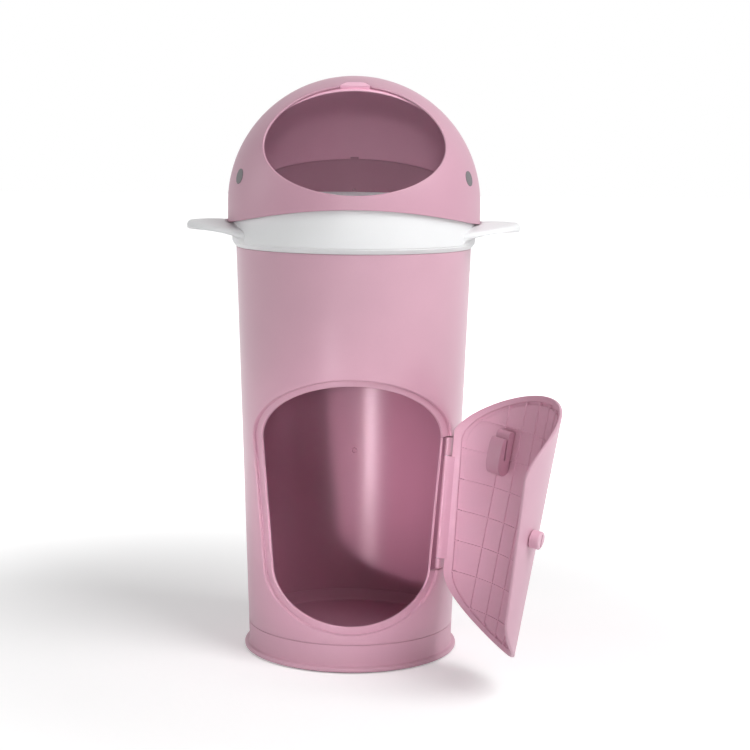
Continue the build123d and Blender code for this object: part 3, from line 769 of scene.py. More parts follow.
@dataclass
class BodyTube:
    """The tapered tube with the doorway's seat, the hinge's ears and the ribs inside."""

    wall: TaperedWall
    hinge: HingeLine
    bottom: float = 29.3
    edge: float = 0.3
    side_azimuth: float = 100.0
    seat_width: float = 6.4
    sill_width: float = 8.2
    seat_depth: float = 3.6
    seat_foot: float = 6.2
    frame_width: float = 2.8
    rim_round: float = 1.6
    slot: tuple[float, float] = (98.0, 238.0)
    slot_relief: float = 4.95
    slot_round: float = 0.8
    margin: float = 8.0  # how far round the doorway its fine loops begin
    lip_round: float = 0.9
    lip_width: float = 1.2
    ears: tuple[tuple[float, float], ...] = ((219.0, 237.5), (100.0, 110.0))
    ear_web: float = 8.0
    hoops: tuple[tuple[float, float, float], ...] = ((117.5, 417.0, 421.0), (113.0, 380.0, 383.0))
    post: tuple[float, float] = (103.2, 4.4)  # how far out the screw posts stand, and their radius
    post_heights: tuple[float, float] = (33.4, 46.0)
    mark: tuple[float, float] = (2.6, 192.0)  # X and Z of the round mark on the back wall
    rows: int = 13
    back_columns: int = 90

    def __post_init__(self) -> None:
        """Lays the doorway's outline."""
        self.doorway = Doorway(self.wall, self.slot)

    def pocket_loops(self) -> Array:
        """The loops from the outer face over the doorway's rim, seat and lip to the inner face.

        Returns:
            An array of (loops, 3, stations) of azimuth, height and depth.
        """
        seat, sill, depth, foot = self.seat_width, self.sill_width, self.seat_depth, self.seat_foot
        rim, lip, small = self.rim_round, self.lip_round, self.slot_round
        plain = [(0, 0, -self.margin, 0)]
        plain += [(0, 0, -rim + a, rim - b) for a, b in bend(rim)]
        plain += [(0, 0, 0, depth - 0.5), (0, 0, 0.5, depth)]
        plain += [(seat, sill, -lip + a, depth + lip - b) for a, b in bend(lip)]
        plain += [(seat, sill, 0, foot - 0.4), (seat, sill, -0.4, foot)]
        loops = [self.doorway.loop(i, a, d, low) for i, low, a, d in plain]
        cut = [(-self.margin, 0)] + [(-small + a, small - b) for a, b in bend(small)]
        cut += [(0, foot)] * (len(plain) - len(cut))
        height = self.doorway.z(0)
        edge = self.hinge.azimuth(height) + self.wall.arc(self.slot_relief, height)
        for loop, (along, depth) in zip(loops, cut):
            slot = np.stack([edge - self.wall.arc(along, height), height, np.full_like(height, depth)])
            loop[:, self.doorway.marked] = slot[:, self.doorway.marked]
        back = [(0.0, foot), (-0.6, foot - 0.5), (-0.6, self.wall.thickness + 0.6), (-1.6, self.wall.thickness)]
        loops += [self.doorway.loop(-self.frame_width, a, d) for a, d in (*back, (-4.0, self.wall.thickness))]
        return np.stack(loops)

    def border(self, low: float, high: float) -> tuple[Array, Array, int, int]:
        """Lays a rectangle round the doorway, with a point for each station.

        The stations fall in four groups between the corners, and each side of the rectangle is shared out by
        the length of the outline in its group.

        Args:
            low: the rectangle's lowest height.
            high: its highest height.

        Returns:
            The azimuths, the heights, and the numbers of the first and last station on the upper side.
        """
        way = self.doorway
        total = len(way.cos)
        x, z = way.x(0), way.z(0)
        right_top = way.count_right + way.top_count // 4
        left_top = way.count_right + (way.top_count - 2) - 1 - way.top_count // 4
        right_foot = total - way.bottom_count // 4
        left_foot = 2 * way.count_right + (way.top_count - 2) + way.bottom_count // 4 - 1
        order = (np.arange(total) + right_foot) % total
        step = np.hypot(np.diff(x[order], append=x[order[:1]]), np.diff(z[order], append=z[order[:1]]))
        length = np.concatenate([[0], np.cumsum(step)[:-1]])
        azimuth, height = np.empty(total), np.empty(total)
        side = self.side_azimuth
        ends = [(k - right_foot) % total for k in (right_foot, right_top, left_top, left_foot)] + [total]
        whole = np.append(length, step.sum())
        corners = ((side, low), (side, high), (-side, high), (-side, low), (side, low))
        for n in range(4):
            a, b = ends[n], ends[n + 1]
            share = (length[a:b] - length[a]) / (whole[b] - whole[a])
            azimuth[order[a:b]] = corners[n][0] + (corners[n + 1][0] - corners[n][0]) * share
            height[order[a:b]] = corners[n][1] + (corners[n + 1][1] - corners[n][1]) * share
        return azimuth, height, right_top, left_top

    def shell(self, tube: Surface) -> None:
        """Adds the doorway's loops, carried outwards to a rectangle, the back of the wall and both rims.

        Args:
            tube: the surface that gets them.
        """
        low, high = self.bottom + self.edge, self.wall.rim_height - self.edge
        azimuth, height, first, last = self.border(low, high)
        loops = self.pocket_loops()
        share = np.linspace(1, 0, self.rows)[:-1, None]
        spread = []
        for loop, depth in ((loops[0], 0.0), (loops[-1], self.wall.thickness)):
            rows = [loop[0] + (azimuth - loop[0]) * share, loop[1] + (height - loop[1]) * share]
            spread.append(np.stack([*rows, np.full_like(rows[0], depth)], 1))
        front = np.concatenate([spread[0], loops, spread[1][::-1]])
        tube.grid(self.wall.at(front[:, 0], front[:, 1], front[:, 2]), close_columns=True)
        # The back takes the heights of the rectangle's side, so that both meet point by point.
        total = len(azimuth)
        start = total - self.doorway.bottom_count // 4
        side = np.concatenate([np.arange(start, total), np.arange(0, first + 1)])
        levels = height[side]
        back = np.linspace(self.side_azimuth, 360 - self.side_azimuth, self.back_columns)
        for depth in (0.0, self.wall.thickness):
            tube.grid(self.wall.at(back[None], levels[:, None], depth))
        edge, wall = self.edge, self.wall.thickness
        across = np.array([[0, edge], [edge, 0], [wall - edge, 0], [wall, edge]])
        top = np.concatenate([azimuth[first : last + 1][::-1], back[1:]])
        group = np.arange(2 * self.doorway.count_right + self.doorway.top_count - 2, start + 1)
        foot = azimuth[group[azimuth[group] > -self.side_azimuth - 1]]
        foot = np.concatenate([foot[height[group] < low + 1e-6], back[1:]])
        for line, base, sign in ((top, self.wall.rim_height, -1), (foot, self.bottom, 1)):
            z = base + sign * across[:, 1][:, None] + 0 * line[None]
            tube.grid(self.wall.at(line[None], z, across[:, :1]))

    def fittings(self, tube: Surface) -> None:
        """Adds the lip beside the slot, the hinge's ears, the hoops inside, the screw posts and the round mark.

        Args:
            tube: the surface that gets them.
        """
        heights = np.linspace(self.slot[0] - 0.6, self.slot[1] + 0.6, 40)
        x = self.doorway.half_width_at(heights, self.seat_width)
        half = self.lip_width / 2
        depth, foot = self.seat_depth, self.seat_foot
        section = rounded([(-half, depth, 0.5), (half, depth, 0.5), (half, foot, 0.4), (-half, foot, 0.4)])
        path = self.wall.azimuth_of_x(x, heights) + self.wall.arc(half, heights)
        tube.grid(self.wall.bar(path, heights, section, True), close_columns=True)
        for ear in self.ears:
            tube.grid(self.hinge.knuckle(*ear, self.ear_web), close_columns=True)
        turn = np.linspace(0, 360, 180, endpoint=False)
        for inner, z0, z1 in self.hoops:
            outer = self.wall.radius(z0) - self.wall.thickness / 2
            tube.lathe(rounded([(inner, z0, 0.5), (outer, z0, 0), (outer, z1, 0), (inner, z1, 0.5)]), turn)
        (out, thick), (z0, z1) = self.post, self.post_heights
        for azimuth in SCREW_AZIMUTHS:
            profile = [(0, z0, 0), (thick, z0, 0.4), (thick, z1, 0.8), (0, z1, 0)]
            tube.turned(post_at(azimuth, out), rounded(profile, False))
        self.round_mark(tube)

    def round_mark(self, tube: Surface) -> None:
        """Adds the small round mark with a dimple on the inside of the back wall.

        Args:
            tube: the surface that gets it.
        """
        x, z = self.mark
        spot = Placement(np.array([x, float(self.wall.radius(z)) - self.wall.thickness, z]), X_AXIS, Z_AXIS, -Y_AXIS)
        dimple = [(0, -0.2, 0), (1.2, -0.2, 0.4), (2.2, 0.5, 0.3)]
        rim = [(2.9, 0.9, 0.4), (4.0, -0.6, 0.5), (4.4, -1, 0), (0, -1, 0)]
        tube.turned(spot, rounded(dimple + rim, False))

    def make(self, wardrobe: Wardrobe) -> None:
        """Builds the tube.

        Args:
            wardrobe: the finishes.
        """
        tube = Surface("body_tube")
        self.shell(tube)
        self.fittings(tube)
        tube.build(Body.BODY, "body_plastic", wardrobe, ["body_shell"])


def post_at(azimuth: float, radius: float) -> Placement:
    """A placement on the pail's floor whose outward line is Z, at an azimuth and a radius from the axis."""
    return Placement(around(np.array(azimuth), np.array(radius), np.array(0.0)), X_AXIS, Y_AXIS, Z_AXIS)


@dataclass
class BaseTray:
    """The tray under the tube: a round flange, a short wall with a seam above it, and a floor."""

    wall: TaperedWall
    flange_radius: float = 114.3
    flange: tuple[float, float] = (1.3, 6.0)
    foot: tuple[float, float] = (110.0, 2.2)  # radius and height of the face that carries the anti-slip ring
    recess: tuple[float, float] = (104.0, 12.0)  # radius and top of the recess underneath
    recess_shelf: float = 99.5
    floor: tuple[float, float] = (17.5, 20.0)
    floor_margin: float = 5.2
    seam: float = 29.0
    upstand_top: float = 33.0
    upstand_wall: float = 1.2
    post: tuple[float, float] = (102.6, 4.6)  # how far out the screw posts stand, and their radius
    post_top: float = 32.8

    def make(self, wardrobe: Wardrobe) -> None:
        """Turns the tray's profile and stands the screw posts on its floor.

        Args:
            wardrobe: the finishes.
        """
        (low, high), (under, floor), (foot, foot_z) = self.flange, self.floor, self.foot
        (recess, recess_top), shelf, flange = self.recess, self.recess_shelf, self.flange_radius
        inside = self.wall.thickness + 0.3
        seam, top = self.wall.radius(self.seam), self.wall.radius(self.upstand_top) - inside
        corners = [(0, under, 0), (shelf, under, 0.6), (shelf, recess_top, 0.6), (recess, recess_top, 0.4)]
        corners += [(recess, foot_z, 0), (foot, foot_z, 0), (foot, low, 0.3), (flange, low, 1.8), (flange, high, 2.2)]
        corners += [(self.wall.radius(high + 1.5), high + 0.4, 1.6), (seam, self.seam, 0.25)]
        corners += [(seam - inside, self.seam, 0), (top, self.upstand_top, 0.3)]
        corners += [(top - self.upstand_wall, self.upstand_top, 0.3)]
        corners += [(seam - self.floor_margin, floor, 2.0), (0, floor, 0)]
        tray = Surface("base_tray_shell")
        turn = np.linspace(0, 360, 240, endpoint=False)
        tray.lathe(rounded(corners, closed=False, steps=7), turn)
        out, thick = self.post
        for azimuth in SCREW_AZIMUTHS:
            profile = [(0, floor - 1, 0), (thick, floor - 1, 0), (thick, self.post_top, 0.4), (0, self.post_top, 0)]
            tray.turned(post_at(azimuth, out), rounded(profile, False))
        tray.build(Body.BODY, "base_plastic", wardrobe, ["base_tray"])


# Door


@dataclass
class Door:
    """The curved door: a panel with a grooved, ribbed inner face, its barrel, its latch frame and its cutter."""

    wall: TaperedWall
    hinge: HingeLine
    gap: float = 1.1
    thickness: float = 3.0
    rim_rounds: tuple[float, float] = (1.2, 0.7)  # of the rim's outer and inner edge
    barrel: tuple[float, float] = (110.6, 218.4)
    clearance: float = 5.4
    groove: tuple[float, float] = (7.2, 10.8)
    groove_depth: float = 1.9
    rib_heights: tuple[float, ...] = (66.6, 99.8, 132.0, 164.0, 196.5, 229.0, 262.0)
    rib_pitch: float = 20.5
    ribs_each_side: int = 3
    rib_relief: float = 1.3
    rib_halves: tuple[float, float] = (0.7, 0.55)  # half a rib's width at its foot and at its top
    latch_azimuths: tuple[float, float] = (-50.0, -35.0)
    latch_heights: tuple[float, float] = (148.0, 212.0)
    latch_gap: tuple[float, float] = (170.0, 189.0)
    latch_relief: float = 4.2
    latch_wall: float = 1.6
    apron: tuple[float, float] = (3.3, 9.0)  # how high it rises off the inner face, and how far it runs out
    spine: tuple[float, float] = (112.0, 232.0)

    def __post_init__(self) -> None:
        """Lays the door's outline."""
        self.doorway = Doorway(self.wall, self.barrel)

    def panel(self, panel: Surface) -> None:
        """Adds the panel as loops from a spine on its outer face, over its rim, to a spine on its inner face.

        Args:
            panel: the surface that gets it.
        """
        (edge, lip), thick, (groove, inner) = self.rim_rounds, self.thickness, self.groove
        floor = thick - self.groove_depth
        plan = [(self.gap, edge - a, edge - b) for a, b in bend(edge)]
        plan += [(self.gap, lip - b, thick - lip + a) for a, b in bend(lip)]
        plan += [(groove, -0.4, thick), (groove, 0.0, thick - 0.4), (groove, 0.2, floor + 0.3)]
        plan += [(groove, 0.6, floor), (inner, -0.6, floor)]
        plan += [(inner, -0.2, floor + 0.3), (inner, 0.0, thick - 0.4), (inner, 0.4, thick)]
        loops = np.stack([self.doorway.loop(i, a, d) for i, a, d in plan])
        z = loops[:, 1]
        margin = np.where(self.doorway.marked, 0.0, self.clearance)
        extra = np.array([max(a, 0.0) for _, a, _ in plan])[:, None]
        limit = self.hinge.azimuth(z) - self.wall.arc(margin + extra, z)
        loops[:, 0] = np.minimum(loops[:, 0], limit)
        share = np.linspace(1, 0, 26)[:-1, None]
        fills = []
        for azimuth, height, depth in (loops[0], loops[-1]):
            ends = np.clip(height, *self.spine)
            fill = [azimuth * (1 - share), height + (ends - height) * share, depth + 0 * share]
            fills.append(np.stack(fill, 1))
        whole = np.concatenate([fills[0], loops, fills[1][::-1]])
        shape = self.wall.at(whole[:, 0], whole[:, 1], whole[:, 2])
        panel.grid(self.hinge.swing(shape), close_columns=True)

    def bars(self, panel: Surface) -> None:
        """Adds the grid of ribs and the walls of the latch's frame.

        Args:
            panel: the surface that gets them.
        """
        low, high = self.thickness - self.groove_depth - 0.1, self.thickness + self.rib_relief
        wide, slim = self.rib_halves
        section = rounded([(-wide, low, 0), (wide, low, 0), (slim, high, 0.35), (-slim, high, 0.35)])
        inset = self.groove[0] + 0.4
        for z in self.rib_heights:
            reach = float(self.wall.azimuth_of_x(self.doorway.half_width_at(np.array(z), inset), np.array(z)))
            path = np.linspace(-reach, reach, 60)
            panel.grid(self.hinge.swing(self.wall.bar(path, np.full(60, z), section, False)), close_columns=True)
        for n in range(-self.ribs_each_side, self.ribs_each_side + 1):
            x = n * self.rib_pitch
            heights = np.linspace(*self.doorway.heights_at(x, inset), 40)
            path = self.wall.azimuth_of_x(np.full(40, x), heights)
            panel.grid(self.hinge.swing(self.wall.bar(path, heights, section, True)), close_columns=True)
        half, top = self.latch_wall / 2, self.thickness + self.latch_relief
        slim = half - 0.15
        section = rounded([(-half, 1.5, 0), (half, 1.5, 0), (slim, top, 0.5), (-slim, top, 0.5)])
        first, last = self.latch_azimuths
        foot, head = self.latch_heights
        for z in (foot + half, head - half):
            path = np.linspace(first, last, 16)
            panel.grid(self.hinge.swing(self.wall.bar(path, np.full(16, z), section, False)), close_columns=True)
        shift = float(self.wall.arc(np.array(half), np.array(foot)))
        for azimuth, z0, z1 in (
            (last - shift, foot, head),
            (first + shift, foot, self.latch_gap[0]),
            (first + shift, self.latch_gap[1], head),
        ):
            heights = np.linspace(z0, z1, 12)
            bar = self.wall.bar(np.full(12, azimuth), heights, section, True)
            panel.grid(self.hinge.swing(bar), close_columns=True)

    def make(self, wardrobe: Wardrobe) -> None:
        """Builds the panel, with the apron from its barrel to its inner face, and the film cutter on it.

        Args:
            wardrobe: the finishes.
        """
        panel = Surface("door_shell")
        self.panel(panel)
        self.bars(panel)
        panel.grid(self.hinge.knuckle(*self.barrel, 0), close_columns=True)
        thick, (rise, reach) = self.thickness, self.apron
        top = thick + rise
        slope = rounded([(0.3, 1.0, 0), (0.3, top, 0.8), (-2.4, top, 2.2), (-reach, thick, 0), (-reach, 1.0, 0)])
        heights = np.linspace(self.barrel[0] + 0.2, self.barrel[1] - 0.2, 30)
        bar = self.wall.bar(self.hinge.azimuth(heights), heights, slope, True)
        panel.grid(self.hinge.swing(bar), close_columns=True)
        panel.build(Body.DOOR, "door_plastic", wardrobe, ["door_panel"])
        FilmCutter(self.wall, self.hinge).make(wardrobe)


@dataclass
class FilmCutter:
    """The hooked cutter on the door's inner face, drawn as height off the face and height above the floor."""

    wall: TaperedWall
    hinge: HingeLine
    azimuth: float = 27.4
    width: float = 17.0
    base_width: float = 11.0
    middle: float = 237.5
    face_depth: float = 3.0
    edge_round: float = 0.9
    base: tuple[Corner, ...] = ((-1.5, 217.5, 0.0), (5.6, 217.5, 0.0), (5.6, 257.5, 0.0), (-1.5, 257.5, 0.0))
    corners: tuple[Corner, ...] = (
        (5.0, 216.5, 1.0),
        (10.0, 213.2, 3.0),
        (17.5, 213.4, 5.0),
        (22.2, 223.5, 7.0),
        (20.8, 245.0, 3.0),
        (17.8, 252.6, 2.2),
        (14.5, 251.6, 1.2),
        (14.5, 229.0, 1.2),
        (12.0, 229.0, 1.2),
        (12.0, 258.6, 3.6),
        (5.0, 259.2, 0.6),
    )

    def place(self) -> Placement:
        """Places the cutter on the closed door.

        Returns:
            The placement, whose width is off the face, whose up is Z and whose outward line is along the wall.
        """
        outward = around(np.array(self.azimuth), np.array(1.0), np.array(0.0))
        base = outward * (self.wall.radius(self.middle) - self.face_depth)
        return Placement(base, -outward, Z_AXIS, np.cross(Z_AXIS, outward))

    def make(self, wardrobe: Wardrobe) -> None:
        """Carries the hook's outline across its width, and adds the narrower base under it.

        Args:
            wardrobe: the finishes.
        """
        cutter = Surface("film_cutter")
        place = self.place()
        for corners, width in ((self.corners, self.width), (self.base, self.base_width)):
            outline = rounded(corners)
            spread = np.linspace(-0.5, 0.5, 2)[:, None] * width
            wall = place.points(outline[None, :, 0], outline[None, :, 1], spread)
            cutter.grid(self.hinge.swing(wall), close_columns=True)
        piece = cutter.build(Body.DOOR, "cutter_plastic", wardrobe, ["cutter_body"], fill=True)
        soften(piece, self.edge_round)


# Turning ring


@dataclass
class TurningRing:
    """The white band with its collar and two wing handles."""

    band_radius: float = 128.3
    band: tuple[float, float] = (438.0, 478.5)
    band_wall: float = 2.6
    lip_bottom: float = 432.5
    lip_radius: float = 124.1
    lip_inner: float = 121.4
    collar: tuple[float, float] = (124.0, 121.4)
    collar_top: float = 485.0
    web: tuple[float, float] = (433.0, 436.0)
    spigot: tuple[float, float] = (116.9, 112.0)
    spigot_bottom: float = 415.5
    notch_half: float = 34.0
    notch_floor: float = 464.0
    wing_centre: float = 113.5
    wing_radius: float = 62.5
    crown: tuple[float, float, float] = (148.0, 198.2, 262.0)  # X and Z of the top's centre, and its radius
    under: tuple[float, float, float] = (160.0, 311.5, 139.0)  # the same of the underside
    wing_reach: float = 49.5  # how far in from the wing's edge its rows go
    wing_rays: int = 121
    top_round: float = 4.5
    under_round: float = 2.4
    root_round: float = 4.0
    root_depth: float = 1.2  # how far the wing's root reaches into the band
    skirt: tuple[float, float] = (133.3, 456.9)  # radius within which the wing stays under the dome, and how low
    skirt_fade: float = 1.4

    def profile(self) -> Array:
        """Draws the ring's section.

        Returns:
            Its radii and heights: the lip, the band, the collar, the web under the funnel and the spigot.
        """
        low, high = self.band
        radius, collar, inner = self.band_radius, self.collar[0], self.collar[1]
        inside = radius - self.band_wall
        corners = [(self.lip_inner, self.lip_bottom, 0), (self.lip_radius, self.lip_bottom, 0.3)]
        corners += [(self.lip_radius + 0.6, self.lip_bottom + 0.6, 0.3), (radius - 0.6, low - 1.0, 0.3)]
        corners += [(radius - 0.9, low - 0.6, 0.1), (radius - 0.9, low - 0.1, 0.1), (radius, low + 0.4, 0.5)]
        corners += [(radius, high, 1.6), (collar, high, 0.3), (collar, self.collar_top, 0.8)]
        corners += [(inner, self.collar_top, 0.8), (inner, high - 5.0, 0.4), (inside, high - 9.3, 0.4)]
        corners += [(inside, self.web[1] + 4.3, 0.6), (inner, self.web[1], 0.6), (self.spigot[1], self.web[1], 0.5)]
        corners += [(self.spigot[1], self.spigot_bottom, 0.4), (self.spigot[0], self.spigot_bottom, 0.4)]
        corners += [(self.spigot[0], self.web[0], 0.4), (self.lip_inner, self.web[0], 0)]
        return rounded(corners, steps=6)

    def hoop(self, ring: Surface) -> None:
        """Adds the band, with the collar cut down at both pivots.

        Args:
            ring: the surface that gets it.
        """
        pivot = math.degrees(math.asin(self.notch_half / self.band_radius))
        marks = (0, 90 - pivot, 90 + pivot, 270 - pivot, 270 + pivot, 360)
        whole = self.collar_top
        ceilings = (whole, self.notch_floor, whole, self.notch_floor, whole)
        turn = [np.linspace(a, b, max(4, round((b - a) / 1.25))) for a, b in zip(marks, marks[1:])]
        ceiling = np.concatenate([np.full(len(t), c) for t, c in zip(turn, ceilings)])
        ring.lathe(self.profile(), np.concatenate(turn), ceiling)

    def wing(self, ring: Surface, side: int) -> None:
        """Adds one wing.

        Rays leave the pail's axis within the wing's width. Along each, points lie where the distance to the
        wing's round edge takes set values, and nearer points stay just inside the band. The top is a sphere
        and the underside a cylinder, both rounded off towards the edge by a quarter circle.

        Args:
            ring: the surface that gets the wing.
            side: 1 for the right wing and -1 for the left one.
        """
        root = self.band_radius - self.root_depth
        reach = (root**2 + self.wing_centre**2 - self.wing_radius**2) / (2 * root * self.wing_centre)
        turn = np.arccos(reach) * np.sin(np.radians(np.linspace(-90, 90, self.wing_rays)))[None]
        fine = self.top_round * (1 - np.cos(np.radians(np.linspace(0, 90, 10))))
        inward = np.concatenate([fine, np.linspace(self.top_round + 1.5, self.wing_reach, 28)])[:, None]
        chord = (self.wing_radius - inward) ** 2 - (self.wing_centre * np.sin(turn)) ** 2
        radius = self.wing_centre * np.cos(turn) + np.sqrt(np.maximum(chord, 0))
        radius = np.maximum(np.where(chord > 0, radius, 0), root)
        x, y = radius * np.cos(turn), radius * np.sin(turn)
        edge = np.clip(self.wing_radius - np.hypot(x - self.wing_centre, y), 0, None)
        crown_x, crown_z, crown_radius = self.crown
        top = crown_z + np.sqrt(crown_radius**2 - (x - crown_x) ** 2 - y**2)
        top -= self.quarter(edge, self.top_round)
        skirt_radius, skirt_top = self.skirt
        under_dome = np.clip((skirt_radius + self.skirt_fade - radius) / self.skirt_fade, 0, 1)
        under_dome = under_dome**2 * (3 - 2 * under_dome)
        top = top + (np.minimum(top, skirt_top) - top) * under_dome
        under_x, under_z, under_radius = self.under
        low = under_z + np.sqrt(under_radius**2 - (x - under_x) ** 2)
        low += self.quarter(edge, self.under_round)
        low -= self.quarter(np.clip(radius - self.band_radius, 0, None), self.root_round)
        low = np.minimum(low, top - 0.2)
        sheets = [np.stack([side * x, y, z], -1) for z in (top, low)]
        ring.grid(np.concatenate([sheets[0][::-1], sheets[1]]))
        ring.grid(np.stack([sheets[0][-1], sheets[1][-1]]))

    @staticmethod
    def quarter(distance: Array, radius: float) -> Array:
        """How far a quarter circle of a radius has fallen at a distance from where it stands upright."""
        return radius - np.sqrt(np.clip(radius**2 - np.clip(radius - distance, 0, None) ** 2, 0, None))

    def make(self, wardrobe: Wardrobe) -> None:
        """Builds the ring.

        Args:
            wardrobe: the finishes.
        """
        ring = Surface("turning_ring")
        self.hoop(ring)
        for side in (-1, 1):
            self.wing(ring, side)
        ring.build(Body.HEAD, "ring_plastic", wardrobe, ["twist_ring"])


@dataclass
class Funnel:
    """The throat inside the ring: a tube with a rolled lip and a flat plate round it."""

    bore: float = 80.0
    wall: float = 2.4
    tube: tuple[float, float] = (402.0, 452.0)
    lip: float = 5.0
    plate_radius: float = 120.8
    plate_bottom: float = 436.0

    def make(self, wardrobe: Wardrobe) -> None:
        """Turns the funnel's profile; the lip is two half circles about the same centre.

        Args:
            wardrobe: the finishes.
        """
        outer, plate_top = self.bore + self.wall, self.plate_bottom + self.wall
        foot, top = self.tube
        corners = [(self.bore, foot, 0.8), (outer, foot, 0.8), (outer, self.plate_bottom, 0.8)]
        corners += [(self.plate_radius, self.plate_bottom, 0.4), (self.plate_radius, plate_top, 0.6)]
        corners += [(outer, plate_top, 1.5), (outer, top, 0)]
        turn = np.radians(np.linspace(0, 180, 13))
        lips = []
        for radius, angle in ((self.lip - self.wall, turn[::-1]), (self.lip, turn)):
            lips.append(np.stack([self.bore + self.lip + radius * np.cos(angle), top + radius * np.sin(angle)], 1))
        funnel = Surface("throat_lining")
        profile = np.vstack([rounded(corners, closed=False), lips[0][1:], lips[1]])
        funnel.lathe(profile, np.linspace(0, 360, 180, endpoint=False))
        funnel.build(Body.HEAD, "ring_plastic", wardrobe, ["throat_funnel"])


# Dome and shutter


@dataclass
class Dome:
    """The dome: a sphere over a short skirt, with a wide mouth, in disc coordinates about its top.

    A disc coordinate is a pair whose length is the angle from the top in degrees and whose direction is the
    azimuth. Lengths over 90 are down the skirt.
    """

    radius: float = 132.8
    wall: float = 2.6
    centre: float = 477.5
    arch_top: float = 476.6
    arch_side: float = 457.5
    tilt: float = 16.0
    mouth_shift: float = 39.7
    mouth_half_width: float = 92.6
    mouth_half_height: float = 63.2
    recess_outer: float = 17.5
    recess_inner: float = 9.5
    recess_depth: float = 5.4
    rim_round: float = 1.3
    edge_round: float = 0.5
    rows: int = 44
    ledge: tuple[float, float, float] = (124.4, 478.8, 481.0)  # inner radius, foot and top
    ledge_half_turn: float = 50.0
    key: tuple[float, float, float] = (122.9, 478.9, 488.0)  # inner radius, foot and top
    key_half_turn: float = 0.68
    stub: tuple[float, float] = (4.0, 4.6)  # radius, and how far in it reaches

    def at(self, disc: Array, depth: Array) -> Array:
        """Lays disc coordinates on the dome.

        Args:
            disc: the disc coordinates.
            depth: the depth under the dome's surface.

        Returns:
            The points.
        """
        length = np.hypot(disc[..., 0], disc[..., 1])
        azimuth = np.degrees(np.arctan2(disc[..., 0], -disc[..., 1]))
        polar = np.radians(np.minimum(length, 90))
        radius = (self.radius - depth) * np.sin(polar)
        drop = self.radius * np.radians(np.maximum(length - 90, 0))
        return around(azimuth, radius, self.centre + (self.radius - depth) * np.cos(polar) - drop)

    def mouth(self) -> tuple[Array, Array]:
        """Draws the mouth's edge: an ellipse in a plane tilted up, carried straight onto the dome, with the recess.

        Returns:
            The turn of each station and its disc coordinates.
        """
        fine = np.linspace(76, 104, 90)
        turn = np.concatenate([np.linspace(-90, 75, 150), fine, np.linspace(105, 270, 150)[:-1]])
        angle = np.radians(turn)
        u = self.mouth_half_width * np.cos(angle)
        v = self.mouth_shift + self.mouth_half_height * np.sin(angle)
        share = np.clip((self.recess_outer - np.abs(u)) / (self.recess_outer - self.recess_inner), 0, 1)
        share = share**2 * (3 - 2 * share) * (np.sin(angle) > 0)
        top = self.mouth_shift + self.mouth_half_height + self.recess_depth
        v = v + (top - v) * share
        w = np.sqrt(self.radius**2 - u**2 - v**2)
        tilt = math.radians(self.tilt)
        y, z = v * math.sin(tilt) - w * math.cos(tilt), v * math.cos(tilt) + w * math.sin(tilt)
        polar = np.degrees(np.arccos(z / self.radius))
        flat = np.hypot(u, y)
        return turn, np.stack([polar * u / flat, polar * y / flat], -1)

    def lower_edge(self, azimuth: Array) -> Array:
        """Draws the skirt's edge, which is an arch seen from the front.

        Args:
            azimuth: the azimuths in degrees.

        Returns:
            The edge's disc coordinates.
        """
        sag = self.arch_top - self.arch_side
        bow = (self.radius**2 + sag**2) / (2 * sag)
        x = self.radius * np.sin(np.radians(azimuth))
        z = self.arch_top - bow + np.sqrt(bow**2 - x**2)
        length = 90 + np.degrees((self.centre - z) / self.radius)
        return length[:, None] * np.stack([np.sin(np.radians(azimuth)), -np.cos(np.radians(azimuth))], -1)

    def shell(self, dome: Surface) -> None:
        """Adds both skins between the mouth and the skirt's edge, with a round rim and a softened lower edge.

        Args:
            dome: the surface that gets them.
        """
        turn, mouth = self.mouth()
        edge = self.lower_edge(turn + 90)
        way = edge - mouth
        long = np.linalg.norm(way, axis=1)[:, None]
        step = way / long
        rim = self.rim_round
        arc = math.degrees(1 / self.radius)
        rolled = [self.at(mouth + step * (rim - a) * arc, np.array(rim - b)) for a, b in bend(rim, 180, 9)]
        share = np.linspace(0, 1, self.rows)[1:-1, None, None]
        start, end = mouth + step * rim * arc, edge - step * 0.6 * arc
        sheet = start + (end - start) * share
        soft = self.edge_round
        skirt = [(end, 0.0), (edge, soft), (edge, self.wall - soft), (end, self.wall)]
        outer = list(self.at(sheet, np.array(0.0))[::-1])
        inner = list(self.at(sheet, np.array(self.wall)))
        lower = [self.at(d, np.array(depth)) for d, depth in skirt]
        dome.grid(np.stack([*lower[::-1][3:], *outer, *rolled, *inner, *lower[::-1][:3]]), True, True)

    def fittings(self, dome: Surface) -> None:
        """Adds the two ledges that rest on the ring, the key at the back and the stubs that carry the shutter.

        Args:
            dome: the surface that gets them.
        """
        wall = self.radius - self.wall / 2
        inner, foot, top = self.ledge
        ledge = rounded([(inner, foot, 0.5), (wall, foot, 0), (wall, top, 0), (inner, top, 0.5)])
        for turn in (0, 180):
            dome.lathe(ledge, np.linspace(turn - self.ledge_half_turn, turn + self.ledge_half_turn, 60))
        inner, foot, top = self.key
        key = rounded([(inner, foot, 0.4), (wall, foot, 0), (wall, top, 0), (inner, top - 1, 1.2)])
        dome.lathe(key, np.linspace(180 - self.key_half_turn, 180 + self.key_half_turn, 3))
        thick, reach = self.stub
        stub = rounded([(0, -1, 0), (thick, -1, 0), (thick, reach, 0.4), (0, reach, 0)], False)
        for side in (-1, 1):
            origin = np.array([side * wall, 0, self.centre])
            dome.turned(Placement(origin, Y_AXIS, Z_AXIS, -side * X_AXIS), stub)

    def make(self, wardrobe: Wardrobe) -> None:
        """Builds the dome.

        Args:
            wardrobe: the finishes.
        """
        dome = Surface("dome_bowl")
        self.shell(dome)
        self.fittings(dome)
        dome.build(Body.DOME, "dome_plastic", wardrobe, ["dome_shell"])


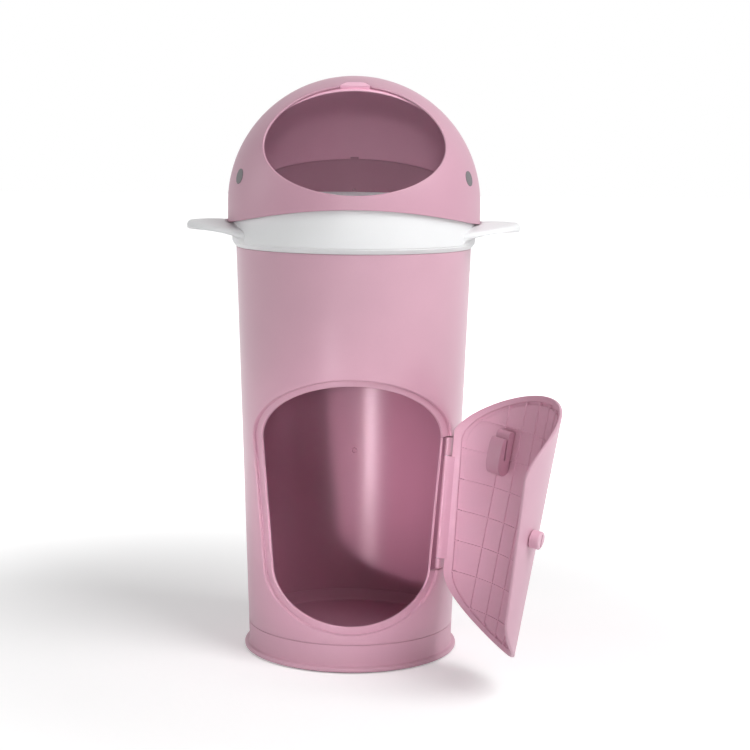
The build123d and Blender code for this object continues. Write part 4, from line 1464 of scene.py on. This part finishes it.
@dataclass
class Shutter:
    """The shutter: a band of a sphere that turns about the dome's side-to-side line, with a thumb tab."""

    radius: float = 129.6
    wall: float = 2.2
    centre: float = 477.5
    front: float = 65.0
    rear: float = 160.0
    ear_radius: float = 9.0
    hole_radius: float = 4.1
    notch_half: float = 4.5
    notch_depth: float = 2.8
    tab: tuple[float, float] = (66.6, 70.05)
    tab_halves: tuple[float, float] = (15.6, 9.3)
    tab_radius: float = 133.6

    def at(self, elevation: Array, x: Array, radius: Array) -> Array:
        """Lays points on spheres about the dome's centre.

        Args:
            elevation: the points' elevations over the front horizon in degrees.
            x: their X.
            radius: their distances from the centre.

        Returns:
            The points.
        """
        reach = np.sqrt(np.maximum(radius**2 - x**2, 0))
        angle = np.radians(elevation)
        return np.stack(np.broadcast_arrays(x, -reach * np.cos(angle), self.centre + reach * np.sin(angle)), -1)

    def rear_edge(self) -> tuple[Array, Array]:
        """Draws the band's rear edge with its notch.

        Returns:
            The X of every row, doubled at the notch's sides, and its rear elevation.
        """
        limit = math.sqrt((self.radius - self.wall / 2) ** 2 - (self.ear_radius - 1.5) ** 2)
        side, notch = np.arcsin(limit / self.radius), self.notch_half
        spread = self.radius * np.sin(np.linspace(-side, side, 141))
        x = np.sort(np.concatenate([spread, [-notch, -notch, notch, notch]]))
        rear = np.full(len(x), self.rear)
        inside = np.abs(x) < notch - 1e-6
        doubled = np.flatnonzero(np.isclose(np.abs(x), notch))
        inside[doubled[1]] = inside[doubled[2]] = True
        rear[inside] -= math.degrees(self.notch_depth / self.radius)
        return x, rear

    def band(self, shutter: Surface) -> None:
        """Adds the band: outer skin, round front edge, inner skin and round rear edge, as one loop for each X.

        Args:
            shutter: the surface that gets it.
        """
        x, rear = self.rear_edge()
        half = self.wall / 2
        middle = self.radius - half
        reach = math.degrees(half / middle)
        share = np.linspace(0, 1, 60)[1:-1]
        front, rear = self.front + reach, rear - reach
        turns = bend(1.0, 180, 7)
        columns = [(front + (rear - front) * s, self.radius) for s in share[::-1]]
        columns += [(front - reach * a + 0 * rear, middle + half * b) for a, b in turns]
        columns += [(front + (rear - front) * s, self.radius - self.wall) for s in share]
        columns += [(rear + reach * a, middle - half * b) for a, b in turns]
        rows = np.stack([self.at(e, x, np.array(r)) for e, r in columns], 1)
        core = np.stack([self.at(e, x, np.array(middle)) for e, _ in columns], 1)
        shutter.grid(np.concatenate([core[:1], rows, core[-1:]]), close_columns=True)

    def ear(self, shutter: Surface, side: int) -> None:
        """Adds one ear, a flat ring round the pivot.

        Args:
            shutter: the surface that gets it.
            side: 1 for the right ear and -1 for the left one.
        """
        hole, ear = self.hole_radius, self.ear_radius
        top, foot = (math.sqrt(r**2 - ear**2) for r in (self.radius, self.radius - self.wall))
        loop = rounded([(hole, foot - 0.1, 0.3), (ear, foot - 0.1, 0.5), (ear, top, 0.5), (hole, top + 0.2, 0.3)])
        turn = np.linspace(0, 2 * math.pi, 48, endpoint=False)[:, None]
        radius, out = loop[None, :, 0], side * loop[None, :, 1]
        places = np.broadcast_arrays(out, radius * np.cos(turn), self.centre + radius * np.sin(turn))
        shutter.grid(np.stack(places, -1), close_rows=True, close_columns=True)

    def thumb_tab(self, shutter: Surface) -> None:
        """Adds the thumb tab, which narrows towards the rear and has rounded far corners.

        Args:
            shutter: the surface that gets it.
        """
        middle = self.radius - self.wall / 2
        loop = rounded([(-1, middle, 0), (1, middle, 0), (1, self.tab_radius, 0.07), (-1, self.tab_radius, 0.07)])
        low, high = self.tab
        between = np.linspace(low + 0.6, high - 0.6, 8)
        elevation = np.array([low, low, low + 0.25, *between, high - 0.25, high, high])
        width = np.interp(elevation, self.tab, self.tab_halves)
        width = width - 3.0 * np.clip((elevation - high + 0.6) / 0.6, 0, 1) ** 2
        size = np.concatenate([[0, 0.97], np.ones(len(elevation) - 4), [0.97, 0]])[:, None]
        out = middle + (loop[None, :, 1] - middle) * size
        shutter.grid(self.at(elevation[:, None], loop[None, :, 0] * width[:, None] * size, out), close_columns=True)

    def make(self, wardrobe: Wardrobe) -> None:
        """Builds the shutter.

        Args:
            wardrobe: the finishes.
        """
        shutter = Surface("shutter_band")
        self.band(shutter)
        for side in (-1, 1):
            self.ear(shutter, side)
        self.thumb_tab(shutter)
        shutter.build(Body.SHUTTER, "shutter_plastic", wardrobe, ["shutter"])


# Nodes of the frame that are shown as they are


def dress_frame_nodes(wardrobe: Wardrobe) -> None:
    """Gives every frame node that is still shown the finish of its material slot.

    Args:
        wardrobe: the finishes.
    """
    slots = {part["node"]: part["material_slot"] for part in frame["record"]["subparts"]}
    for name, node in frame["nodes"].items():
        if node.hide_render:
            continue
        wardrobe.dress(node, slots[name])
        log.info("%s: dressed as %s", name, slots[name])


# Studio


@dataclass(frozen=True)
class Lamp:
    """A square soft lamp: where it hangs, what it points at, its side, its watts and its beam's full angle."""

    name: str
    place: Place
    target: Place
    size: float
    power: float
    spread: float = 180.0
    colour: Colour = (1.0, 1.0, 1.0)

    def hang(self) -> None:
        """Makes the lamp."""
        data = bpy.data.lights.new(self.name, "AREA")
        data.size, data.energy, data.spread = self.size, self.power, math.radians(self.spread)
        data.color = self.colour
        lamp = bpy.data.objects.new(self.name, data)
        lamp.location = self.place
        lamp.rotation_euler = (Vector(self.target) - Vector(self.place)).to_track_quat("-Z", "Y").to_euler()
        bpy.context.scene.collection.objects.link(lamp)


@dataclass
class Studio:
    """A white floor that keeps a soft shadow, a pale world, the lamps and the camera."""

    lamps: tuple[Lamp, ...] = (
        Lamp("key", (1.52, -1.19, 2.04), (0.0, 0.0, 0.3), 1.7, 50.0),
        Lamp("left_fill", (-2.4, 0.1, 1.0), (0.0, 0.0, 0.3), 1.2, 9.0),
        Lamp("front", (-0.3, -2.6, 1.5), (0.0, 0.0, 0.3), 1.0, 1.6),
        Lamp("low_front", (-0.78, -2.1, 0.09), (0.04, 0.0, 0.16), 0.2, 0.13, 9.0, (1.0, 0.8, 0.89)),
        Lamp("mouth_front", (0.0, -2.3, 0.9), (0.0, 0.0, 0.54), 0.5, 0.12, 8.0),
    )

    floor_half: float = 12.0
    near_lift: float = 0.3
    far_lift: float = 1.0
    fade: tuple[float, float] = (0.3, 1.1)
    sky: float = 0.27
    camera_place: Place = (0.0, -1.9108, 0.5633)
    lens: float = 86.67
    pitch: float = 7.99
    yaw: float = -0.717
    roll: float = 0.625

    def floor(self) -> None:
        """Lays the floor: a matt white that adds a little light of its own in sight, so that it reads as white."""
        half = self.floor_half
        mesh = bpy.data.meshes.new("floor")
        mesh.from_pydata([(-half, -half, 0), (half, -half, 0), (half, half, 0), (-half, half, 0)], [], [(0, 1, 2, 3)])
        plane = bpy.data.objects.new("floor", mesh)
        bpy.context.scene.collection.objects.link(plane)
        plane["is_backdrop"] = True
        paint = bpy.data.materials.new("floor_white")
        shader = Shader(paint)
        matt = shader.node("ShaderNodeBsdfDiffuse", None, {"Color": (0.9, 0.9, 0.9, 1)})
        light = shader.node("ShaderNodeEmission", None, {"Color": (1, 1, 1, 1), "Strength": 1.0})
        far = shader.node("ShaderNodeVectorMath", {"operation": "LENGTH"}, {0: shader.place()}).outputs["Value"]
        near, end = self.fade
        span = {"Value": far, "From Min": near, "From Max": end, "To Min": self.near_lift, "To Max": self.far_lift}
        lift = shader.node("ShaderNodeMapRange", {"interpolation_type": "SMOOTHSTEP"}, span).outputs["Result"]
        share = self.in_sight(shader) * Signal(shader, lift)
        glow = shader.node("ShaderNodeMixShader", None, {"Fac": share, 2: light.outputs[0]})
        both = shader.node("ShaderNodeAddShader", None, {0: matt.outputs[0], 1: glow.outputs[0]})
        shader.node("ShaderNodeOutputMaterial", None, {"Surface": both.outputs[0]})
        mesh.materials.append(paint)

    @staticmethod
    def in_sight(shader: Shader) -> Signal:
        """Tells the camera's rays from the others.

        Args:
            shader: the shader that gets the nodes.

        Returns:
            A signal of 1 on rays that the camera sees, straight or by a mirror or glass, and 0 on the others.
        """
        path = shader.node("ShaderNodeLightPath")
        straight, mirror, glass = (
            Signal(shader, path.outputs[name]) for name in ("Is Camera Ray", "Is Glossy Ray", "Is Transmission Ray")
        )
        return 1 - (1 - straight) * (1 - mirror) * (1 - glass)

    def world(self) -> None:
        """Fills the world with even light, and with plain white where it is seen."""
        sky = bpy.data.worlds.new("studio")
        shader = Shader(sky)
        soft, white = (
            shader.node("ShaderNodeBackground", None, {"Color": (1, 1, 1, 1), "Strength": s}).outputs[0]
            for s in (self.sky, 1.0)
        )
        light = shader.node("ShaderNodeMixShader", None, {"Fac": self.in_sight(shader), 1: soft, 2: white})
        shader.node("ShaderNodeOutputWorld", None, {"Surface": light.outputs[0]})
        bpy.context.scene.world = sky

    def camera(self) -> None:
        """Sets the camera by its place and its pitch, yaw and roll."""
        pitch, yaw, roll = (math.radians(a) for a in (self.pitch, self.yaw, self.roll))
        ahead = Vector((-math.sin(yaw) * math.cos(pitch), math.cos(yaw) * math.cos(pitch), -math.sin(pitch)))
        right = Vector((math.cos(yaw), math.sin(yaw), 0))
        up = right.cross(ahead)
        across = right * math.cos(roll) + up * math.sin(roll)
        upright = up * math.cos(roll) - right * math.sin(roll)
        data = bpy.data.cameras.new("camera")
        data.lens, data.sensor_width = self.lens, 36.0
        camera = bpy.data.objects.new("camera", data)
        turn = Matrix((across, upright, -ahead)).transposed().to_4x4()
        camera.matrix_world = Matrix.Translation(self.camera_place) @ turn
        bpy.context.scene.collection.objects.link(camera)
        bpy.context.scene.camera = camera

    def set_up(self) -> None:
        """Builds the whole studio."""
        self.floor()
        self.world()
        for lamp in self.lamps:
            lamp.hang()
        self.camera()
        bpy.context.scene.view_settings.view_transform = "Standard"


def corners() -> list[list[float]]:
    """Lowest and highest corner of the shown object, as plain numbers."""
    return [[round(float(v), 6) for v in corner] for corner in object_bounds()]


def main() -> None:
    """Builds the pail piece by piece round the frame, then the studio."""
    logging.basicConfig(level=logging.INFO, format="%(name)s %(message)s")
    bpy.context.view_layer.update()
    wardrobe = Wardrobe()
    wall = TaperedWall()
    hinge = HingeLine()
    parts: Sequence[Callable[[Wardrobe], None]] = (
        BodyTube(wall, hinge).make,
        BaseTray(wall).make,
        Door(wall, hinge).make,
        TurningRing().make,
        Funnel().make,
        Dome().make,
        Shutter().make,
    )
    for make in parts:
        make(wardrobe)
    dress_frame_nodes(wardrobe)
    Studio().set_up()


if __name__ == "__main__":
    main()
